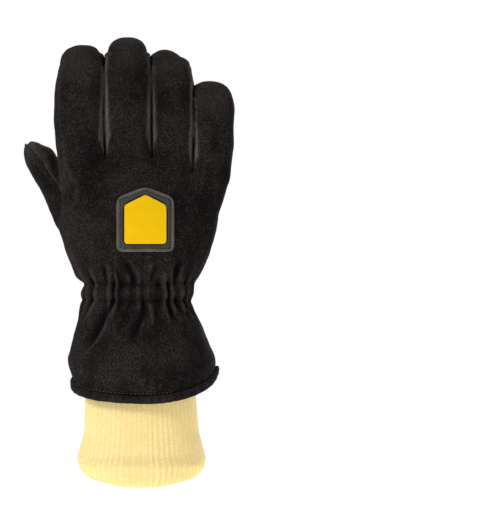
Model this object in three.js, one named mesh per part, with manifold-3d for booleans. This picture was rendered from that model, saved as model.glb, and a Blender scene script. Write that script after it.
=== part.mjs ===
// A structural firefighting glove for the right hand, filled out as if a hand were in it: split-leather panels
// sewn round four fingers and a thumb, a wrist gathered on two rows of elastic, a flared cuff with a rolled hem,
// and a ribbed knitted wrist with a leather guard over the pulse.
//
// Millimetres. +Z runs up to the fingertips, the back of the glove faces -Y, the palm +Y and the thumb -X.
// The origin is the centre of the knitted wrist's mouth, where the hand goes in.
import * as THREE from "three";
import { mergeVertices } from "three/addons/utils/BufferGeometryUtils.js";
import Module from "manifold-3d";

const wasm = await Module();
wasm.setup();

// Leather and gaps
const WALL = 2.6; // leather with what backs it
const SEAM_GAP = 0.35; // between two sewn edges
const SEAT_GAP = 0.3; // between a piece and what it lies on

// Heights up the glove
const HEM_LEVEL = 79.5; // underside of the hem at the cuff's sides, above the mouth
const HEM_HEIGHT = 6.8;
const CUFF_HEIGHT = 54.3; // hem seam to the lower elastic
const ELASTIC_PITCH = 13; // lower elastic to the upper one
const HAND_LENGTH = 96.5; // upper elastic to the crotch beside the middle finger

// The hem dips in the middle of the back and of the palm, and is tilted across the cuff
const HEM_TILT = 3.9;
const HEM_BACK_DIP = 15.5;
const HEM_PALM_DIP = 4.2;
const HEM_BULGE = 1.9; // how far the roll stands out of the cuff
const HEM_INSIDE = 0.9; // and into it

// Fingers: width, depth, length above the crotch beside the middle finger, how far the root leans to +X, and how far
// the tip's highest point does
const FINGERS = [
  { name: "index", width: 36.4, depth: 29, length: 84.2, lean: 5.5, tip: 3.2 },
  { name: "middle", width: 32.9, depth: 30, length: 90.4, lean: 1.5, tip: -0.6 },
  { name: "ring", width: 28.7, depth: 28.5, length: 81.2, lean: -2, tip: -5 },
  { name: "little", width: 28.8, depth: 25.5, length: 57.2, lean: -11, tip: -4 },
];
const FINGER_GAP = 3.2;
const ROW_WIDTH = FINGERS.reduce((sum, f) => sum + f.width, 0) + FINGER_GAP * (FINGERS.length - 1);
const FINGER_OFFSET = 0.75; // the row of fingers is this far off the middle, to the little finger's side
const FINGER_ROOT = 34; // how far a finger's tube runs down inside the hand
const CROTCH_DROPS = [1.6, 0, 12.8]; // each crotch below the one beside the middle finger
const SIDE_DROPS = { index: 8, little: 16 }; // and the hand's own end at its two edges
const FINGER_CURL = 9; // the tips bend to the palm

// Widths, and depths to the back and to the palm
const CUFF = { width: 109, back: 37, palm: 36 };
const WRIST = { width: 81, back: 27, palm: 26.5 };
const PALM = { width: 0.906 * ROW_WIDTH, back: 25, palm: 24.5 };

// The thumb: its size, the angles by which it stands off the hand and towards the palm, and where it starts inside
// the hand, as shares of half the palm's width, of the palm's depth and of the hand's length
const THUMB = { width: 34.8, depth: 31, length: 106, splay: 35.6, lift: 13.6, bow: 1.6 };
const THUMB_ROOT = { x: -0.452, y: 0.2, z: 0.22 };
const THUMB_SECTIONS = [
  { along: 0, wide: 0.94, deep: 0.81 },
  { along: 0.29, wide: 1, deep: 0.97 },
  { along: 0.55, wide: 0.86, deep: 1 },
  { along: 0.752, wide: 0.69, deep: 0.97 },
  { along: 0.888, wide: 0.555, deep: 0.9 },
  { along: 0.963, wide: 0.4, deep: 0.8 },
  { along: 1, wide: 0.2, deep: 0.58 },
];

// Knitted wrist
const KNIT_WALL = 2.6;
const KNIT_MOUTH = { width: 95, depth: 65 };
const KNIT_RIBS = 30;
const RIB_DEPTH = 1.1;
const KNIT_TUCK = 4; // how far its sewn end runs above the lower elastic
const KNIT_EASE = 0.8; // its sewn end is that much slacker than the leather round it
const MOUTH_RISE = 10; // the mouth's sides above its middle
const MOUTH_PALM_RISE = 2.4; // its middle on the palm side above that on the back

// Pulse guard, on the palm side of the knit
const GUARD_THICKNESS = 1.5;
const GUARD_TOP_WIDTH = 52;
const GUARD_END_WIDTH = 34;
const GUARD_SHIFT = 4; // its middle lies to the little finger's side
const GUARD_FLARE = 9; // how far it widens under the hem, on the thumb's side
const GUARD_HIDDEN = 16; // how far it runs up inside the cuff

// Badge on the back of the hand: a five-sided leather patch with a plain field
const BADGE_WIDTH = 43.4;
const BADGE_HEIGHT = 49.2;
const BADGE_PEAK = 8.4; // height of its gable
const BADGE_BORDER = 4.9;
const BADGE_THICKNESS = 1.7;
const BADGE_UP = 0.505; // its middle, as a share of the hand's length
const BADGE_SHIFT = 1.8;
const FIELD_GAP = 0.3;

// Gathers and seams
const PLEATS = 26; // round the whole wrist
const PLEAT_CREST = 1.3;
const PLEAT_VALLEY = 1.1;
const TIP_CAP = 0.42; // the back panel wraps the tip from this share of the finger's width below its end
const BODY_SIDES = 2 * PLEATS;
const INNER_SIDES = 22;
const FINGER_SIDES = 16;
const INNER_FINGER_SIDES = 8;
const THUMB_SIDES = 16;
const ROUNDNESS = 2.35; // power of the superellipse of the hand and the cuff
const FAR = 400;
const HAIR = 0.0001;

const HEM_SEAM = HEM_LEVEL + HEM_HEIGHT;
const LOW_ELASTIC = HEM_SEAM + CUFF_HEIGHT;
const HIGH_ELASTIC = LOW_ELASTIC + ELASTIC_PITCH;
const CROTCH = HIGH_ELASTIC + HAND_LENGTH;
const TOP = CROTCH + Math.max(...FINGERS.map((f) => f.length));

// Sections of the hand and cuff. up is a share of the stretch's height, the others are shares of its half width
// and of its depths to the back and to the palm.
const CUFF_SECTIONS = [
  { up: 0, left: 1.02, right: 1.02, back: 1, palm: 1 },
  { up: 0.2, left: 1.053, right: 0.975, back: 1.01, palm: 1 },
  { up: 0.5, left: 0.972, right: 0.86, back: 0.95, palm: 0.94 },
  { up: 0.76, left: 0.895, right: 0.76, back: 0.86, palm: 0.845 },
  { up: 0.91, left: 0.855, right: 0.69, back: 0.79, palm: 0.78 },
];
const WRIST_SECTIONS = [
  { up: 0, left: 1.1, right: 0.885, back: 1, palm: 1 },
  { up: 0.5, left: 1.135, right: 0.95, back: 1.04, palm: 1.02 },
  { up: 1, left: 1.075, right: 0.95, back: 0.98, palm: 0.98 },
];
const HAND_SECTIONS = [
  { up: 0.06, left: 0.815, right: 0.69, back: 1.1, palm: 1.07 },
  { up: 0.14, left: 0.872, right: 0.76, back: 1.1, palm: 1.08 },
  { up: 0.26, left: 0.952, right: 0.83, back: 1.08, palm: 1.07 },
  { up: 0.42, left: 1.005, right: 0.9, back: 1.03, palm: 1.03 },
  { up: 0.57, left: 0.99, right: 0.94, back: 0.95, palm: 0.96 },
];
// Above those the sections follow the crotches: up is the share of what is left below the nearest crotch
const CROWN_SECTIONS = [
  { up: 0.3, left: 0.99, right: 0.97, back: 0.81, palm: 0.82 },
  { up: 0.58, left: 0.99, right: 0.985, back: 0.66, palm: 0.67 },
  { up: 0.82, left: 0.98, right: 0.98, back: 0.55, palm: 0.55 },
  { up: 0.95, left: 0.96, right: 0.96, back: 0.42, palm: 0.43 },
  { up: 1, left: 0.94, right: 0.94, back: 0.17, palm: 0.17 },
];
// Folds that run out of the gathers: place round the glove in degrees at the upper and the lower end, height of
// those ends as shares of the cuff or of the hand, depth as a share of the wall, and half width in degrees
const CUFF_FOLDS = [
  { from: -128, to: -152, high: 0.92, low: 0.32, depth: 1.5, half: 9 },
  { from: -93, to: -103, high: 0.95, low: 0.5, depth: 1.25, half: 6 },
  { from: -66, to: -56, high: 0.95, low: 0.55, depth: 0.9, half: 7 },
  { from: -34, to: -22, high: 0.95, low: 0.6, depth: 1, half: 8 },
  { from: 42, to: 30, high: 0.95, low: 0.55, depth: 0.9, half: 8 },
  { from: 150, to: 128, high: 0.8, low: 0.35, depth: 1.2, half: 12 },
];
const HAND_FOLDS = [
  { from: -98, to: -102, high: 0.2, low: 0.02, depth: 0.9, half: 6 },
  { from: -62, to: -54, high: 0.24, low: 0.02, depth: 1, half: 7 },
  { from: -130, to: -134, high: 0.24, low: 0.02, depth: 0.7, half: 7 },
  { from: 128, to: 158, high: 0.2, low: 0.02, depth: 1.1, half: 10 },
];

// A finger's sections: up its shaft as a share, then down from its tip as a share of its width
const SHAFT_SECTIONS = [
  { up: 0, wide: 0.9, deep: 0.84 },
  { up: 0.36, wide: 0.985, deep: 1 },
  { up: 0.68, wide: 1, deep: 1 },
];
const TIP_SECTIONS = [
  { down: 0.8, wide: 1, deep: 0.96, lean: 0.1 },
  { down: 0.42, wide: 0.955, deep: 0.87, lean: 0.35 },
  { down: 0.21, wide: 0.87, deep: 0.74, lean: 0.6 },
  { down: 0.07, wide: 0.65, deep: 0.5, lean: 0.85 },
  { down: 0, wide: 0.32, deep: 0.2, lean: 1 },
];

// Seams along the sides of the hand: up is a share of the leather's height from the hem seam to the crotch,
// across a share of the palm's depth, from the middle of the side towards the palm
const THUMB_SIDE_SEAM = [
  { up: 0, across: 0.42 },
  { up: 0.3, across: 0.16 },
  { up: 0.52, across: -0.45 },
  { up: 0.7, across: -0.53 },
  { up: 0.93, across: -0.47 },
];
const LITTLE_SIDE_SEAM = [
  { up: 0, across: 0.5 },
  { up: 0.3, across: 0.42 },
  { up: 0.7, across: 0.5 },
  { up: 0.89, across: 0.4 },
];
const STRIP_SEAM = [
  { up: 0.527, across: -0.28 },
  { up: 0.7, across: -0.1 },
  { up: 0.85, across: 0.12 },
  { up: 0.955, across: 0.36 },
];
// A finger's seams, as shares of half its depth: at the crotch, where the strip is widest and at the cap
const FINGER_SEAMS = { backRoot: 0.42, backBelly: 0.74, backTip: 0.5, palmRoot: 0.62, palmTip: 0.56 };
const BELLY_UP = 0.22; // where the strip is widest, as a share of the way from the crotch to the cap

// Seams on the palm side, seen square on: x as a share of half the palm's width, up as a share of the leather
const WRIST_SEAM = [
  { x: -0.16, up: -0.6 },
  { x: -0.16, up: 0 },
  { x: -0.09, up: 0.32 },
  { x: -0.17, up: 0.515 },
];
const THUMB_MIDDLE_SEAM = [
  { x: -0.42, up: 0.595 },
  { x: -0.69, up: 0.7 },
  { x: -0.97, up: 0.828 },
  { x: -1.18, up: 0.932 },
  { x: -1.6, up: 1.135 },
];
const THUMB_BASE_SEAM = [
  { x: -0.13, up: 0.573 },
  { x: -0.145, up: 0.648 },
  { x: -0.23, up: 0.727 },
  { x: -0.39, up: 0.79 },
  { x: -0.61, up: 0.826 },
];

// A point of a closed section: a superellipse whose four quarters have their own half axes
function sectionPoint(angle, left, right, back, palm, power) {
  const c = Math.cos(angle);
  const s = Math.sin(angle);
  const x = Math.sign(c) * Math.abs(c) ** (2 / power) * (c < 0 ? left : right);
  const y = Math.sign(s) * Math.abs(s) ** (2 / power) * (s < 0 ? back : palm);
  return { x, y };
}

// Angles of a ring's points that divide the wrist's outline evenly, as the pleats do
function evenAngles(count) {
  const steps = 720;
  const lengths = [0];
  const at = (k) => {
    const a = -Math.PI + (2 * Math.PI * k) / steps;
    const p = sectionPoint(a, WRIST.width / 2, WRIST.width / 2, WRIST.back, WRIST.palm, ROUNDNESS);
    return new THREE.Vector2(p.x, p.y);
  };
  for (let k = 1; k <= steps; k++) lengths.push(lengths[k - 1] + at(k).distanceTo(at(k - 1)));
  const angles = [];
  let k = 0;
  for (let i = 0; i < count; i++) {
    const goal = (lengths[steps] * i) / count;
    while (lengths[k + 1] < goal) k++;
    const share = (goal - lengths[k]) / (lengths[k + 1] - lengths[k]);
    angles.push(-Math.PI + (2 * Math.PI * (k + share)) / steps);
  }
  return angles;
}

// A closed body through rings of points that all run the same way round and have the same even count.
// Each end is closed by joining the points that face each other across the ring.
function loft(rings) {
  const n = rings[0].length;
  const index = [];
  const at = (ring, i) => ring * n + (i % n);
  for (let r = 0; r < rings.length - 1; r++)
    for (let i = 0; i < n; i++) {
      index.push(at(r, i), at(r, i + 1), at(r + 1, i + 1));
      index.push(at(r, i), at(r + 1, i + 1), at(r + 1, i));
    }
  const close = (ring, a, b, c) =>
    ring === 0 ? index.push(at(ring, a), at(ring, c), at(ring, b)) : index.push(at(ring, a), at(ring, b), at(ring, c));
  for (const ring of [0, rings.length - 1])
    for (let i = 0; i < n / 2; i++) {
      if (i < n / 2 - 1) close(ring, i + 1, n - i - 1, n - i || n);
      if (i > 0) close(ring, i, i + 1, n - i);
    }
  return solid(new THREE.BufferGeometry().setFromPoints(rings.flat()).setIndex(index));
}

// A closed ring-shaped body: sections of the same count, joined round and back to the first one
function hoop(sections) {
  const n = sections[0].length;
  const index = [];
  const at = (s, i) => (s % sections.length) * n + (i % n);
  for (let s = 0; s < sections.length; s++)
    for (let i = 0; i < n; i++) {
      index.push(at(s, i), at(s, i + 1), at(s + 1, i + 1));
      index.push(at(s, i), at(s + 1, i + 1), at(s + 1, i));
    }
  return solid(new THREE.BufferGeometry().setFromPoints(sections.flat()).setIndex(index));
}

// A geometry as a solid that can be cut and joined
function solid(geometry) {
  const bare = new THREE.BufferGeometry().setAttribute("position", geometry.getAttribute("position"));
  if (geometry.index) bare.setIndex(geometry.index);
  const merged = mergeVertices(bare, 1e-4);
  const made = new wasm.Manifold(
    new wasm.Mesh({
      numProp: 3,
      vertProperties: new Float32Array(merged.attributes.position.array),
      triVerts: new Uint32Array(merged.index.array),
    }),
  );
  return made;
}

const union = (solids) => solids.reduce((all, next) => all.add(next));

// The region between two lines of points {z, y}, from x0 to x1 and a hair past them, so that neighbours join
function prismAlongX(lower, upper, x0, x1) {
  const shape = new THREE.Shape([...lower, ...upper.slice().reverse()].map((p) => new THREE.Vector2(p.y, p.z)));
  const geometry = new THREE.ExtrudeGeometry(shape, { depth: x1 - x0 + 2 * HAIR, bevelEnabled: false });
  const toRow = new THREE.Matrix4().makeBasis(
    new THREE.Vector3(0, 1, 0),
    new THREE.Vector3(0, 0, 1),
    new THREE.Vector3(1, 0, 0),
  );
  return solid(geometry.applyMatrix4(toRow).translate(x0 - HAIR, 0, 0));
}

// The region behind an outline of points {x, z}, from y0 to y1
function prismAlongY(outline, y0, y1) {
  const shape = new THREE.Shape(outline.map((p) => new THREE.Vector2(p.x, p.z)));
  const geometry = new THREE.ExtrudeGeometry(shape, { depth: y1 - y0, bevelEnabled: false });
  const toRow = new THREE.Matrix4().makeBasis(
    new THREE.Vector3(1, 0, 0),
    new THREE.Vector3(0, 0, 1),
    new THREE.Vector3(0, -1, 0),
  );
  return solid(geometry.applyMatrix4(toRow).translate(0, y1, 0));
}

// How strongly the wrist is gathered at a place: over the back, and over the palm beside the little finger
function gather(angle, z) {
  const onBack = THREE.MathUtils.smoothstep(-Math.sin(angle), -0.05, 0.15);
  const onPalm = Math.sin(angle) > 0 ? 0.8 * THREE.MathUtils.smoothstep(Math.cos(angle), 0.05, 0.25) : 0;
  const rise = THREE.MathUtils.smoothstep(z, LOW_ELASTIC - 0.3 * CUFF_HEIGHT, LOW_ELASTIC);
  const fall = 1 - THREE.MathUtils.smoothstep(z, HIGH_ELASTIC, HIGH_ELASTIC + 0.2 * HAND_LENGTH);
  return Math.max(onBack, onPalm) * rise * fall;
}

// How far a fold pushes the wall in at a place
function foldDepth(angle, z) {
  const degrees = THREE.MathUtils.radToDeg(angle);
  let sum = 0;
  const add = (folds, base, height) => {
    for (const fold of folds) {
      const share = (base + fold.high * height - z) / ((fold.high - fold.low) * height);
      if (share <= 0 || share >= 1) continue;
      const off = (degrees - (fold.from + (fold.to - fold.from) * share)) / fold.half;
      sum += fold.depth * WALL * Math.sin(Math.PI * share ** 0.7) * Math.exp(-off * off);
    }
  };
  add(CUFF_FOLDS, HEM_SEAM, CUFF_HEIGHT);
  add(HAND_FOLDS, HIGH_ELASTIC, HAND_LENGTH);
  return sum;
}

// Where the fingers stand along x
let edge = FINGER_OFFSET - ROW_WIDTH / 2;
for (const finger of FINGERS) {
  finger.x = edge + finger.width / 2;
  finger.left = edge - FINGER_GAP / 2;
  finger.right = edge + finger.width + FINGER_GAP / 2;
  finger.top = CROTCH + finger.length;
  finger.cap = finger.top - TIP_CAP * finger.width;
  edge += finger.width + FINGER_GAP;
}
FINGERS.forEach((finger, i) => {
  finger.root = CROTCH - Math.max(CROTCH_DROPS[i - 1] ?? 0, CROTCH_DROPS[i] ?? 0) - FINGER_ROOT;
});
const INDEX = FINGERS[0];
const LITTLE = FINGERS[FINGERS.length - 1];

// Height of the hand's end at x: the three crotches, and lower at the two edges
function crotchAt(x) {
  const stops = [
    { x: -PALM.width / 2, z: CROTCH - SIDE_DROPS.index },
    ...CROTCH_DROPS.map((drop, i) => ({ x: FINGERS[i].right, z: CROTCH - drop })),
    { x: PALM.width / 2, z: CROTCH - SIDE_DROPS.little },
  ];
  return along(stops, "x", "z", x);
}

// The value of one column of a table of points at a value of another, straight between the points
function along(points, key, value, at) {
  if (at <= points[0][key]) return points[0][value];
  for (let i = 1; i < points.length; i++)
    if (at <= points[i][key]) {
      const share = (at - points[i - 1][key]) / (points[i][key] - points[i - 1][key]);
      return points[i - 1][value] + share * (points[i][value] - points[i - 1][value]);
    }
  return points[points.length - 1][value];
}

// The hand and cuff as one table of sections in real sizes
const BODY_SECTIONS = [
  ...CUFF_SECTIONS.map((s) => bodySection(s, CUFF, HEM_SEAM + s.up * CUFF_HEIGHT)),
  ...WRIST_SECTIONS.map((s) => bodySection(s, WRIST, LOW_ELASTIC + s.up * ELASTIC_PITCH)),
  ...HAND_SECTIONS.map((s) => bodySection(s, PALM, HIGH_ELASTIC + s.up * HAND_LENGTH)),
];
const CROWN_BASE = BODY_SECTIONS[BODY_SECTIONS.length - 1].z;

function bodySection(s, size, z) {
  return { z, left: (s.left * size.width) / 2, right: (s.right * size.width) / 2, back: s.back * size.back, palm: s.palm * size.palm };
}

// How far the hem lies above its level at a place round the cuff, x and y being shares of the cuff's half axes
function hemRise(x, y) {
  return HEM_TILT * x - (y < 0 ? HEM_BACK_DIP : HEM_PALM_DIP) * Math.abs(y);
}

// The hand and cuff, grown by an amount, or shrunk where it is negative. The gathers are on the outer wall alone.
function bodyTube(grow, sides, gathered) {
  const angles = evenAngles(sides);
  const rings = BODY_SECTIONS.map((s, row) =>
    angles.map((angle, i) => {
      const unit = sectionPoint(angle, 1, 1, 1, 1, ROUNDNESS);
      const wave = gathered ? gather(angle, s.z) : 0;
      const pleat = wave * (i % 2 ? PLEAT_CREST : -PLEAT_VALLEY);
      const off = grow + pleat - foldDepth(angle, s.z);
      const p = sectionPoint(angle, s.left + off, s.right + off, s.back + off, s.palm + off, ROUNDNESS);
      const hem = hemRise(unit.x, unit.y) * Math.max(0, 1 - row / 3);
      const below = row === 0 ? (grow === 0 ? HEM_HEIGHT : 2 * HEM_HEIGHT) : 0;
      return new THREE.Vector3(p.x, p.y, s.z + hem - below);
    }),
  );
  for (const s of CROWN_SECTIONS) {
    const half = PALM.width / 2;
    const size = [s.left * half, s.right * half, s.back * PALM.back, s.palm * PALM.palm];
    const grown = size.map((v) => Math.max(v + grow, 0.5));
    rings.push(
      angles.map((angle) => {
        const p = sectionPoint(angle, ...grown, ROUNDNESS);
        const level = CROWN_BASE + (crotchAt(p.x) - CROWN_BASE) * s.up;
        return new THREE.Vector3(p.x, p.y, level + grow * s.up);
      }),
    );
  }
  return loft(rings);
}

// One finger, grown or shrunk
function fingerTube(finger, grow) {
  const width = finger.width / 2 + grow;
  const depth = finger.depth / 2 + grow;
  const top = finger.top + grow;
  const reach = top - 2 * TIP_SECTIONS[0].down * width;
  const sides = grow < 0 ? INNER_FINGER_SIDES : FINGER_SIDES;
  const ring = (z, wide, deep, shift) => {
    const points = [];
    for (let i = 0; i < sides; i++) {
      const p = sectionPoint((2 * Math.PI * i) / sides, wide, wide, deep, deep, 2.6);
      points.push(new THREE.Vector3(finger.x + shift + p.x, p.y, z));
    }
    return points;
  };
  const shaft = SHAFT_SECTIONS.map((s) => {
    const lean = finger.lean * Math.max(0, 1 - s.up / 0.5);
    return ring(finger.root + s.up * (reach - finger.root), s.wide * width, s.deep * depth, lean);
  });
  const tip = TIP_SECTIONS.map((s) => {
    return ring(top - 2 * s.down * width, s.wide * width, s.deep * depth, finger.tip * s.lean);
  });
  return loft([...shaft, ...tip]);
}

// The thumb, grown or shrunk. Its sections stand square to its own line, seen from the back.
function thumbTube(grow) {
  const splay = THREE.MathUtils.degToRad(THUMB.splay);
  const lift = THREE.MathUtils.degToRad(THUMB.lift);
  const root = {
    x: (THUMB_ROOT.x * PALM.width) / 2,
    y: THUMB_ROOT.y * PALM.palm,
    z: HIGH_ELASTIC + THUMB_ROOT.z * HAND_LENGTH,
  };
  const run = { x: -Math.sin(splay), z: Math.cos(splay) };
  return loft(
    THUMB_SECTIONS.map((s) => {
      const length = THUMB.length * s.along + (s.along === 1 ? grow : 0);
      const out = length * Math.cos(lift);
      const rise = length * Math.sin(lift) + THUMB.bow * Math.sin(Math.PI * s.along);
      const wide = Math.max((s.wide * THUMB.width) / 2 + grow, 1);
      const deep = (s.deep * THUMB.depth) / 2 + grow;
      const ring = [];
      for (let k = 0; k < THUMB_SIDES; k++) {
        const p = sectionPoint((2 * Math.PI * k) / THUMB_SIDES, wide, wide, deep, deep, 2.2);
        const across = { x: p.x * run.z, z: -p.x * run.x };
        ring.push(new THREE.Vector3(root.x + out * run.x + across.x, root.y + rise + p.y, root.z + out * run.z + across.z));
      }
      return ring;
    }),
  );
}

// A ring that follows the cuff's lower edge. Its profile's out is how far it stands out of the cuff, its up a share
// of the height given.
function hemRing(profile, height) {
  const s = BODY_SECTIONS[0];
  const sections = evenAngles(BODY_SIDES).map((angle) => {
    const unit = sectionPoint(angle, 1, 1, 1, 1, ROUNDNESS);
    const level = HEM_LEVEL + hemRise(unit.x, unit.y);
    return profile.map((p) => {
      const q = sectionPoint(angle, s.left + p.out, s.right + p.out, s.back + p.out, s.palm + p.out, ROUNDNESS);
      return new THREE.Vector3(q.x, q.y, level + p.up * height);
    });
  });
  return hoop(sections.reverse());
}

// The leather: everything that hands and fingers fill, taken out of the outer form, down to the hem's seam
const THUMB_OUTER = thumbTube(0);
const FILLED = union([bodyTube(0, BODY_SIDES, true), THUMB_OUTER, ...FINGERS.map((f) => fingerTube(f, 0))]);
const HOLLOW = union([bodyTube(-WALL, INNER_SIDES, false), thumbTube(-WALL), ...FINGERS.map((f) => fingerTube(f, -WALL))]);
const UNDER_HEM_SEAM = hemRing(
  [
    { out: -3 * WALL, up: 1 },
    { out: -3 * WALL, up: -2 },
    { out: 2 * WALL, up: -2 },
    { out: 2 * WALL, up: 1 },
  ],
  HEM_HEIGHT,
);
const LEATHER = FILLED.subtract(HOLLOW).subtract(UNDER_HEM_SEAM);

const LEATHER_HEIGHT = CROTCH - HEM_SEAM;
const sideLine = (table) => table.map((s) => ({ z: HEM_SEAM + s.up * LEATHER_HEIGHT, y: s.across * PALM.palm }));
const faceLine = (table) => table.map((s) => ({ x: (s.x * PALM.width) / 2, z: HEM_SEAM + s.up * LEATHER_HEIGHT }));
const shifted = (line, dx, dz) => line.map((p) => ({ x: p.x + dx, z: p.z + dz }));
const offset = (line, dy) => line.map((p) => ({ z: p.z, y: p.y + dy }));

const STRIP_FOOT = CROTCH - FINGER_ROOT;

// The two lines that bound the strip in one side of a finger, from below the hem to above the tip
function seamLines(finger, side) {
  const half = finger.depth / 2;
  const outer = (finger === INDEX && side < 0) || (finger === LITTLE && side > 0);
  const i = FINGERS.indexOf(finger);
  const root = outer ? CROTCH : CROTCH - CROTCH_DROPS[side < 0 ? i - 1 : i];
  const back = [
    { z: root, y: -(outer ? FINGER_SEAMS.backBelly : FINGER_SEAMS.backRoot) * half },
    { z: root + BELLY_UP * (finger.cap - root), y: -FINGER_SEAMS.backBelly * half },
    { z: finger.cap, y: -FINGER_SEAMS.backTip * half },
  ];
  const palm = [
    { z: CROTCH, y: FINGER_SEAMS.palmRoot * half },
    { z: FAR, y: FINGER_SEAMS.palmTip * half },
  ];
  const start = (line) => [{ z: -FAR, y: line[0].y }, ...line];
  const seam = sideLine(finger.x < 0 ? THUMB_SIDE_SEAM : LITTLE_SIDE_SEAM);
  if (!outer) {
    const below = start(seam).filter((p) => p.z < STRIP_FOOT - WALL);
    return {
      back: [...below, { z: STRIP_FOOT, y: back[0].y }, ...back],
      palm: [...below, { z: STRIP_FOOT, y: palm[0].y }, ...palm],
    };
  }
  if (finger === LITTLE) return { back: null, palm: [...start(seam), ...palm] };
  const strip = sideLine(STRIP_SEAM);
  const below = seam.filter((p) => p.z < strip[0].z);
  const meet = { z: strip[0].z, y: along(seam, "z", "y", strip[0].z) };
  return { back: [...start(seam), ...back], palm: [...start(below), meet, ...strip, ...palm] };
}

// The regions that the panels are cut from, by finger and by side
const HALF_GAP = SEAM_GAP / 2;
const backRegions = [];
const palmRegions = [];
const stripRegions = { left: [], right: [] };
for (const finger of FINGERS)
  for (const side of [-1, 1]) {
    const x0 = side < 0 ? (finger === INDEX ? -FAR : finger.left) : finger.x;
    const x1 = side < 0 ? finger.x : finger === LITTLE ? FAR : finger.right;
    const lines = seamLines(finger, side);
    const wall = [
      { z: -FAR, y: -FAR },
      { z: FAR, y: -FAR },
    ];
    const front = [
      { z: -FAR, y: FAR },
      { z: FAR, y: FAR },
    ];
    palmRegions.push(prismAlongX(offset(lines.palm, HALF_GAP), front, x0, x1));
    if (!lines.back) {
      backRegions.push(prismAlongX(wall, offset(lines.palm, -HALF_GAP), x0, x1));
      stripRegions.right.push(null);
      continue;
    }
    const capLine = [
      { z: finger.cap + HALF_GAP, y: along(lines.palm, "z", "y", finger.cap) },
      { z: FAR, y: lines.palm[lines.palm.length - 1].y },
    ];
    const back = [...lines.back, { z: finger.cap + HALF_GAP, y: lines.back[lines.back.length - 1].y }];
    backRegions.push(prismAlongX(wall, offset([...back, ...capLine], -HALF_GAP), x0, x1));
    const low = finger === INDEX && side < 0 ? sideLine(STRIP_SEAM)[0].z + SEAM_GAP : STRIP_FOOT;
    const cut = (line) => [
      { z: low, y: along(line, "z", "y", low) },
      ...line.filter((p) => p.z > low && p.z < finger.cap - HALF_GAP),
      { z: finger.cap - HALF_GAP, y: along(line, "z", "y", finger.cap - HALF_GAP) },
    ];
    const strip = prismAlongX(offset(cut(lines.back), HALF_GAP), offset(cut(lines.palm), -HALF_GAP), x0, x1);
    (side < 0 ? stripRegions.left : stripRegions.right).push(strip);
  }

// Cuts the leather to a region and keeps the panel, without crumbs that the cut may leave at its edges
function panel(region) {
  const bodies = LEATHER.intersect(region).decompose();
  return bodies.reduce((most, next) => (next.volume() > most.volume() ? next : most));
}

// Everything between two heights
function slab(low, high) {
  const outline = [
    { x: -FAR, z: low },
    { x: FAR, z: low },
    { x: FAR, z: high },
    { x: -FAR, z: high },
  ];
  return prismAlongY(outline, -FAR, FAR);
}

// On the back and on the thumb's side the cuff is joined on at the lower row of elastic
const CUFF_PART = slab(-FAR, LOW_ELASTIC - HALF_GAP);
const HAND_PART = slab(LOW_ELASTIC + HALF_GAP, FAR);

const thumbCut = thumbTube(SEAM_GAP);
const PALM_SIDE = union(palmRegions);
const wristSeam = faceLine(WRIST_SEAM);
const middleSeam = faceLine(THUMB_MIDDLE_SEAM);
const baseSeam = faceLine(THUMB_BASE_SEAM);
const baseTop = baseSeam[baseSeam.length - 1].z;
const fork = wristSeam[wristSeam.length - 1];
const farUp = { x: -FAR, z: FAR };

// The palm's edge runs up the wrist seam and along the base of the thumb; the heel and the thumb's own front keep
// a seam's gap to it
function palmPanel() {
  const face = prismAlongY(
    [...wristSeam, ...baseSeam, { x: -FAR, z: baseTop }, farUp, { x: FAR, z: FAR }, { x: FAR, z: wristSeam[0].z }],
    -FAR,
    FAR,
  );
  return panel(PALM_SIDE.intersect(face).subtract(thumbCut));
}

function thumbFrontPanel() {
  const above = prismAlongY(
    [fork, ...middleSeam, farUp, { x: FAR, z: FAR }, { x: FAR, z: fork.z }],
    -FAR,
    FAR,
  );
  const edge = shifted([fork, ...baseSeam], -SEAM_GAP, -SEAM_GAP);
  const patch = prismAlongY(
    [...edge, { x: -FAR, z: baseTop - SEAM_GAP }, { x: -FAR, z: edge[0].z }],
    -FAR,
    FAR,
  );
  return panel(THUMB_OUTER.add(PALM_SIDE.intersect(patch)).intersect(above));
}

function heelRegion() {
  const edge = shifted([...wristSeam, ...middleSeam], -SEAM_GAP, -SEAM_GAP);
  const below = prismAlongY([...edge, farUp, { x: -FAR, z: edge[0].z }], -FAR, FAR);
  const low = prismAlongY(
    [
      { x: -FAR, z: edge[0].z },
      { x: FAR, z: edge[0].z },
      { x: FAR, z: baseTop - SEAM_GAP },
      { x: -FAR, z: baseTop - SEAM_GAP },
    ],
    -FAR,
    FAR,
  );
  return below.intersect(THUMB_OUTER.add(PALM_SIDE.intersect(low)));
}

// The strip between two fingers, or up the outer side of the index finger
function stripPanel(i) {
  if (i < 0) return panel(stripRegions.left[0].subtract(thumbCut));
  return panel(stripRegions.right[i].add(stripRegions.left[i + 1]));
}

// The hem: a roll that follows the cuff's lower edge
function hem() {
  const profile = [
    { out: -WALL, up: 1 },
    { out: -WALL - HEM_INSIDE, up: 0.45 },
    { out: -WALL / 2, up: 0 },
    { out: HEM_BULGE * 0.75, up: 0.1 },
    { out: HEM_BULGE, up: 0.5 },
    { out: 0, up: 1 },
  ];
  return hemRing(profile, HEM_HEIGHT - SEAM_GAP);
}

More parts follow.
